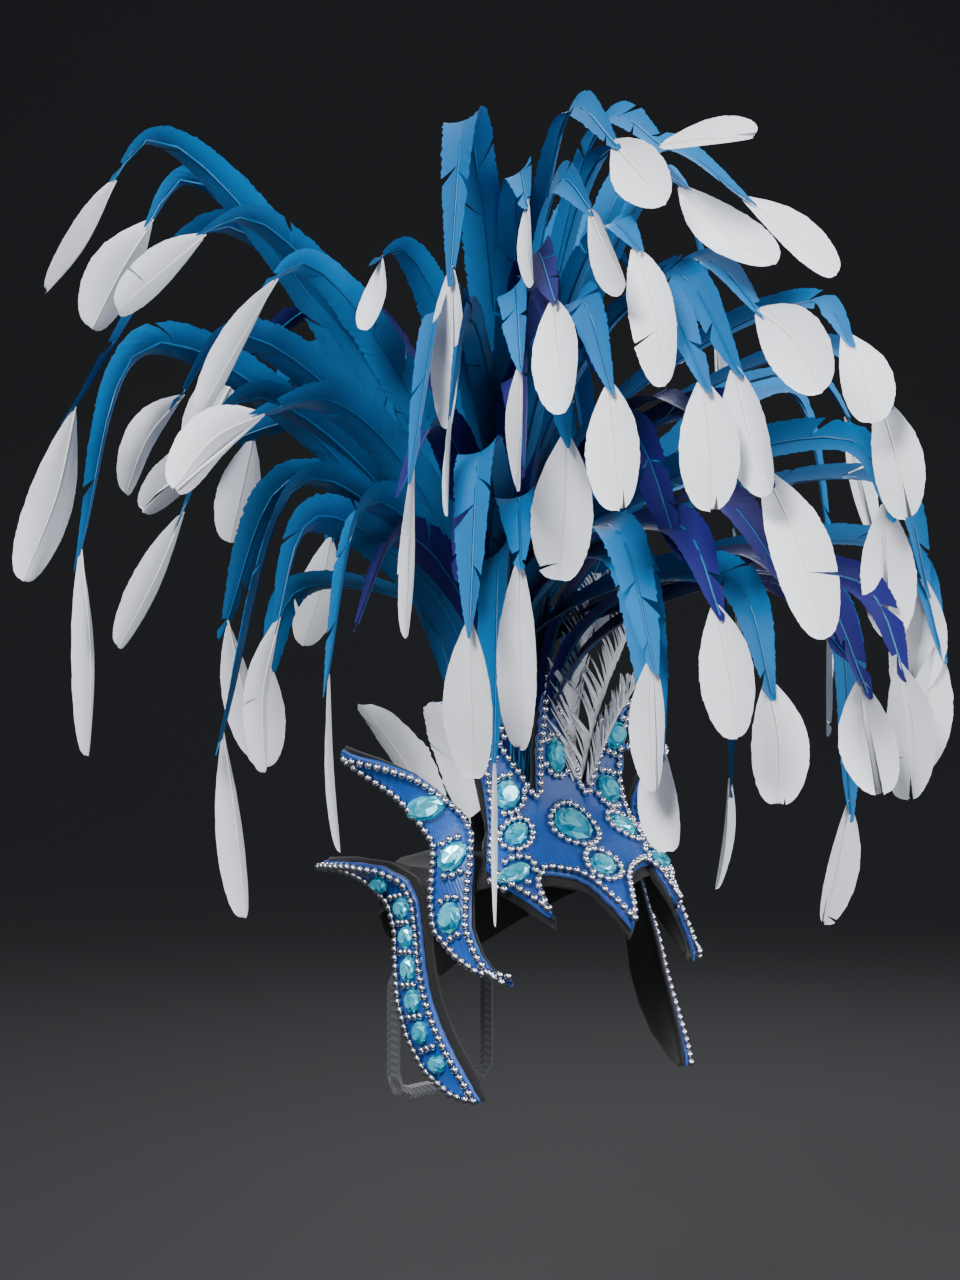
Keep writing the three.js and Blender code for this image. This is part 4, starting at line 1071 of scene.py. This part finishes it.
def blade_width(share):
    """Half width of a blue feather from quill to tip."""
    half = sizes().blade / 2
    swell = np.interp(share, [0, 0.08, 0.25, 0.45, 0.6, 0.76, 0.86, 0.94, 1.0],
                      [0.1, 0.32, 0.7, 0.93, 1.0, 0.9, 0.68, 0.38, 0.08])
    return half * swell


def leaf_width(share):
    """Half width of a white tip: narrow at its neck, round at its end."""
    half = sizes().leaf / 2
    swell = np.interp(share, [0, 0.06, 0.16, 0.3, 0.45, 0.62, 0.78, 0.88, 0.95, 0.985, 1.0],
                      [0.1, 0.3, 0.6, 0.88, 1.0, 0.97, 0.8, 0.62, 0.42, 0.23, 0.06])
    return half * swell


def feather_rows():
    """Every feather, with the fountain carried on behind the head."""
    rows = list(FEATHERS + FILL_FEATHERS)
    for i in range(HIDDEN_COUNT):
        _, crest, rise_c, tip, rise_t, leaf, rise_l, spread, roll, dye, share = FEATHERS[
            (i * HIDDEN_STRIDE) % len(FEATHERS)]
        turn = HIDDEN_FROM + (HIDDEN_TO - HIDDEN_FROM) * (i + 0.5) / HIDDEN_COUNT
        rows.append((turn, crest * HIDDEN_REACH, rise_c, tip * HIDDEN_REACH, rise_t,
                     leaf * HIDDEN_REACH, rise_l, spread, roll, dye, share))
    return rows


def raised(foot, out, reach, height):
    """Point at a reach from a quill's foot, at its own height."""
    point = foot + out * reach
    point[2] = height
    return point


def feather_parts(row, foot, rng):
    """Blue blade and white leaf of one feather."""
    turn, crest_r, crest_z, tip_r, tip_z, leaf_r, leaf_z, spread, roll, dye, size = row
    out = out_direction(turn)
    lateral = np.cross((0, 0, 1), out)

    def at(reach, rise):
        return raised(foot, out, reach * PLUME_REACH - QUILL_ROWS[1], rise * PLUME_RISE)

    def own_width(share):
        return leaf_width(share) * size

    shoulder = raised(foot, out, crest_r * PLUME_REACH * spread,
                      foot[2] + SHOULDER_SHARE * (crest_z * PLUME_RISE - foot[2]))
    tip = at(tip_r, tip_z)
    stem = Strand([foot, shoulder, at(crest_r, crest_z), tip], lateral, roll,
                  twist=rng.uniform(-15, 15))
    blade = vane(stem, blade_width, sizes().barb, BLADE_BARBS, rng)
    stalk = quill(stem, 0.99, 1.5 * MM, 0.7 * MM)
    neck = tip - stem.travel[-1] * LEAF_NECK
    hang = at(leaf_r, leaf_z) - neck
    bow = np.cross(hang, lateral) * rng.uniform(-0.06, 0.1)
    leaf = Strand([neck, neck + hang * 0.5 + bow, neck + hang], lateral,
                  roll + rng.uniform(-20, 40), twist=rng.uniform(-25, 25), count=40)
    tipped = vane(leaf, own_width, sizes().barb * 0.85, LEAF_BARBS, rng)
    spine = quill(leaf, 0.97, 0.8 * MM, 0.2 * MM)
    return (blade, stalk), (tipped, spine), dye


def inner_arc(row, foot, rng):
    """Blade and quill of a navy feather without a leaf."""
    turn, crest_r, crest_z, tip_r, tip_z, roll = row
    out = out_direction(turn)
    lateral = np.cross((0, 0, 1), out)
    crest = raised(foot, out, crest_r * PLUME_REACH, crest_z * PLUME_RISE)
    tip = raised(foot, out, tip_r * PLUME_REACH, tip_z * PLUME_RISE)
    shoulder = raised(foot, out, crest_r * PLUME_REACH * 0.25,
                      foot[2] + SHOULDER_SHARE * (crest[2] - foot[2]))
    stem = Strand([foot, shoulder, crest, tip], lateral, roll, twist=rng.uniform(-20, 20))
    blade = vane(stem, blade_width, sizes().barb, BLADE_BARBS, rng)
    return blade, quill(stem, 0.98, 1.3 * MM, 0.5 * MM)


def upright_feather(row, rng):
    """Barbs and quill of a white feather behind the crown; down has loose barbs."""
    turn_a, reach_a, foot_z, turn_b, reach_b, tip_z, half, down = row
    foot = raised(np.zeros(3), out_direction(turn_a), reach_a, foot_z)
    tip = raised(np.zeros(3), out_direction(turn_b), reach_b, tip_z)
    out = out_direction((turn_a + turn_b) / 2)
    lateral = np.cross((0, 0, 1), out)
    stem = Strand([foot, (foot + tip) / 2 - out * 6 * MM, tip], lateral, 0, count=50)

    def width(share):
        return half * np.interp(share, [0, 0.15, 0.5, 0.85, 1], [0.35, 0.8, 1, 0.7, 0.2])

    spacing, barbs = (DOWN_SPACING, DOWN_BARBS) if down else (sizes().barb, BROAD_BARBS)
    return vane(stem, width, spacing, barbs, rng), quill(stem, 0.97, 0.8 * MM, 0.2 * MM)


def sector_of(turn):
    return int(turn % 360 // SECTOR_TURN)


def quill_foot(turn, row):
    """Where a quill stands in its bundle on the socket."""
    return raised(np.zeros(3), out_direction(turn), QUILL_ROWS[row],
                  SOCKET_RISE + BUNDLE_HEIGHT / 2)


def feather_piece(name, parts, materials, nodes=()):
    points, quads, uv, tone, marks = gather(parts)
    made = mesh_object(name, points, quads, uv, tone)
    finish_piece(made, name, materials, nodes, marks)


class HEADDRESS_OT_stage(bpy.types.Operator):
    """Floor, soft studio light and the camera"""

    bl_idname = "headdress.stage"
    bl_label = "Stage"

    def execute(self, context):
        floor = backdrop_mesh()
        floor.data.materials.append(paper_material())
        world = bpy.data.worlds.new("studio air")
        context.scene.world = world
        world.use_nodes = True
        backdrop = world.node_tree.nodes["Background"]
        backdrop.inputs["Color"].default_value = from_hex("B9C2D0")
        backdrop.inputs["Strength"].default_value = 0.5
        for name, place, size, watts in LAMPS:
            lamp = bpy.data.lights.new(name, "AREA")
            lamp.shape = "DISK"
            lamp.size = size
            lamp.energy = watts
            holder = bpy.data.objects.new(name, lamp)
            holder.location = place
            aim = Vector(LAMP_TARGET) - holder.location
            holder.rotation_euler = aim.to_track_quat("-Z", "Y").to_euler()
            context.collection.objects.link(holder)
        camera = bpy.data.cameras.new("camera")
        camera.sensor_fit = "VERTICAL"
        camera.sensor_height = 36
        camera.lens = CAMERA_LENS
        camera.clip_start = 0.05
        eye = bpy.data.objects.new("camera", camera)
        eye.location = CAMERA_PLACE
        eye.rotation_euler = (math.radians(90), 0, -VIEW_TURN)
        context.collection.objects.link(eye)
        context.scene.camera = eye
        return {"FINISHED"}


class HEADDRESS_OT_plates(bpy.types.Operator):
    """Padded satin plates with their cut felt edge, and the black linings"""

    bl_idname = "headdress.plates"
    bl_label = "Plates and linings"

    def execute(self, context):
        satin = satin_material()
        edge = felt_material("cut blue felt", colours().felt, 0.2)
        black = felt_material("black velvet felt", colours().black, 0.1)
        for key, suffix, ribs, rows, overhang in plate_sets():
            make_plate(PLATE_NODES[key] + suffix, ribs, rows, satin, edge)
            make_lining(key + "_lining" + suffix, ribs, rows, overhang, black)
        return {"FINISHED"}


class HEADDRESS_OT_beads(bpy.types.Operator):
    """Silver beads along every edge, round the stones and across the strips"""

    bl_idname = "headdress.beads"
    bl_label = "Beads"

    def execute(self, context):
        silver = bead_material()
        stones = all_stones()
        clear = sizes().bead * BEAD_CLEAR
        for key, suffix, ribs, _, _ in plate_sets():
            centres = edge_beads(ribs)
            for stone in stones[key + suffix]:
                if stone[6]:
                    ring = keep_clear(ring_beads(stone), centres, clear)
                    centres = np.concatenate([centres, ring])
            if key == "temple":
                bars = bar_beads(ribs, stones[key + suffix])
                centres = np.concatenate([centres, keep_clear(bars, centres, clear)])
            bead_mesh(key + "_bead_rows" + suffix, centres, silver,
                      [key + "_beads" + suffix])
        return {"FINISHED"}


class HEADDRESS_OT_stones(bpy.types.Operator):
    """Cut acrylic stones"""

    bl_idname = "headdress.stones"
    bl_label = "Stones"

    def execute(self, context):
        acrylic = stone_material()
        rng = np.random.default_rng(SEED)
        for stones in all_stones().values():
            for stone in stones:
                make_stone(stone, stone[0] + "_cut", acrylic, rng)
        return {"FINISHED"}


class HEADDRESS_OT_cap(bpy.types.Operator):
    """Skull cap and padded nape loop"""

    bl_idname = "headdress.cap"
    bl_label = "Cap and loop"

    def execute(self, context):
        black = felt_material("black cap felt", colours().black, 0.1)
        for node, material in (("skull_cap", black), ("nape_loop", knit_material())):
            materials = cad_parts[node].data.materials
            materials.clear()
            materials.append(material)
        return {"FINISHED"}


class HEADDRESS_OT_plumes(bpy.types.Operator):
    """Six sprays of blue feathers that end in white leaves"""

    bl_idname = "headdress.plumes"
    bl_label = "Plumes"

    def execute(self, context):
        palette = colours()
        # The dark colour of each barb material is painted shade towards the feet of the vanes, and
        # also random lightness.
        blue = barb_material("dyed blue barbs", tuple(palette.deep_blue_and_painted_shade), tuple(palette.blue),
                             0.55, 0.1)
        navy = barb_material("dyed navy barbs", darker(palette.navy, 0.5), tuple(palette.navy),
                             0.55, 0.15)
        stalk = quill_material("dyed quill", darker(palette.blue, 0.35), darker(palette.blue, 0.8))
        white = barb_material("bleached goose barbs", darker(palette.white, 0.85),
                              tuple(palette.white), 0.6, 0.2)
        spine = quill_material("pale quill", *map(from_hex, PALE_QUILL))
        rows = feather_rows()
        for i, name in enumerate(SECTOR_NAMES):
            own = sorted((row for row in rows if sector_of(row[0]) == i), key=lambda row: row[0])
            rng = np.random.default_rng(SEED + i)
            blades, leaves = [], []
            for row in INNER_ARCS:
                if sector_of(row[0]) == i:
                    blade, stem = inner_arc(row, quill_foot(row[0], 2), rng)
                    blades += [(blade, 1), (stem, 2)]
            for k, row in enumerate(own):
                aside = ((k + 0.5) / len(own) - 0.5) * BUNDLE_SPREAD
                foot = quill_foot((i + 0.5 + aside) * SECTOR_TURN, k % len(QUILL_ROWS))
                (blade, stem), (leaf, rib), dye = feather_parts(row, foot, rng)
                blades += [(blade, 1 if dye == "navy" else 0), (stem, 2)]
                leaves += [(leaf, 0), (rib, 1)]
            feather_piece("plume_" + name, blades, [blue, navy, stalk], ["spray_" + name])
            feather_piece("leaves_" + name, leaves, [white, spine])
        return {"FINISHED"}


class HEADDRESS_OT_down(bpy.types.Operator):
    """White down and broad white feathers that stand behind the crown"""

    bl_idname = "headdress.down"
    bl_label = "White feathers"

    def execute(self, context):
        palette = colours()
        # Its darker white is painted shade towards the feet of the vanes, and also random
        # lightness.
        white = barb_material("white turkey down", darker(palette.white, 0.92),
                              tuple(palette.white), 0.8, 0.4)
        spine = quill_material("white quill", *map(from_hex, PALE_QUILL))
        rng = np.random.default_rng(SEED)
        pieces = []
        for row in WHITE_FEATHERS:
            barbs, stem = upright_feather(row, rng)
            pieces += [(barbs, 0), (stem, 1)]
        feather_piece("white_feathers", pieces, [white, spine])
        return {"FINISHED"}


class HEADDRESS_PT_panel(bpy.types.Panel):
    """Lists the headdress operators"""

    bl_label = "Headdress"
    bl_idname = "HEADDRESS_PT_panel"
    bl_space_type = "VIEW_3D"
    bl_region_type = "UI"
    bl_category = "Headdress"

    def draw(self, context):
        for name in ("bead", "bead_pitch", "blade", "leaf", "barb", "stone_rise", "floor_drop"):
            self.layout.prop(context.scene.headdress_sizes, name)
        for name in ("blue", "deep_blue_and_painted_shade", "navy", "white", "satin", "stone"):
            self.layout.prop(context.scene.headdress_colours, name)
        for operator in OPERATORS:
            self.layout.operator(operator.bl_idname)


OPERATORS = (
    HEADDRESS_OT_stage,
    HEADDRESS_OT_cap,
    HEADDRESS_OT_plates,
    HEADDRESS_OT_beads,
    HEADDRESS_OT_stones,
    HEADDRESS_OT_plumes,
    HEADDRESS_OT_down,
)
CLASSES = (HeaddressSizes, HeaddressColours, *OPERATORS, HEADDRESS_PT_panel)


def register():
    for made in CLASSES:
        bpy.utils.register_class(made)
    bpy.types.Scene.headdress_sizes = bpy.props.PointerProperty(type=HeaddressSizes)
    bpy.types.Scene.headdress_colours = bpy.props.PointerProperty(type=HeaddressColours)


def unregister():
    del bpy.types.Scene.headdress_colours
    del bpy.types.Scene.headdress_sizes
    for made in reversed(CLASSES):
        bpy.utils.unregister_class(made)


def main():
    register()
    bpy.ops.headdress.stage()
    bpy.ops.headdress.cap()
    bpy.ops.headdress.plates()
    bpy.ops.headdress.beads()
    bpy.ops.headdress.stones()
    bpy.ops.headdress.plumes()
    bpy.ops.headdress.down()


if __name__ == "__main__":
    main()
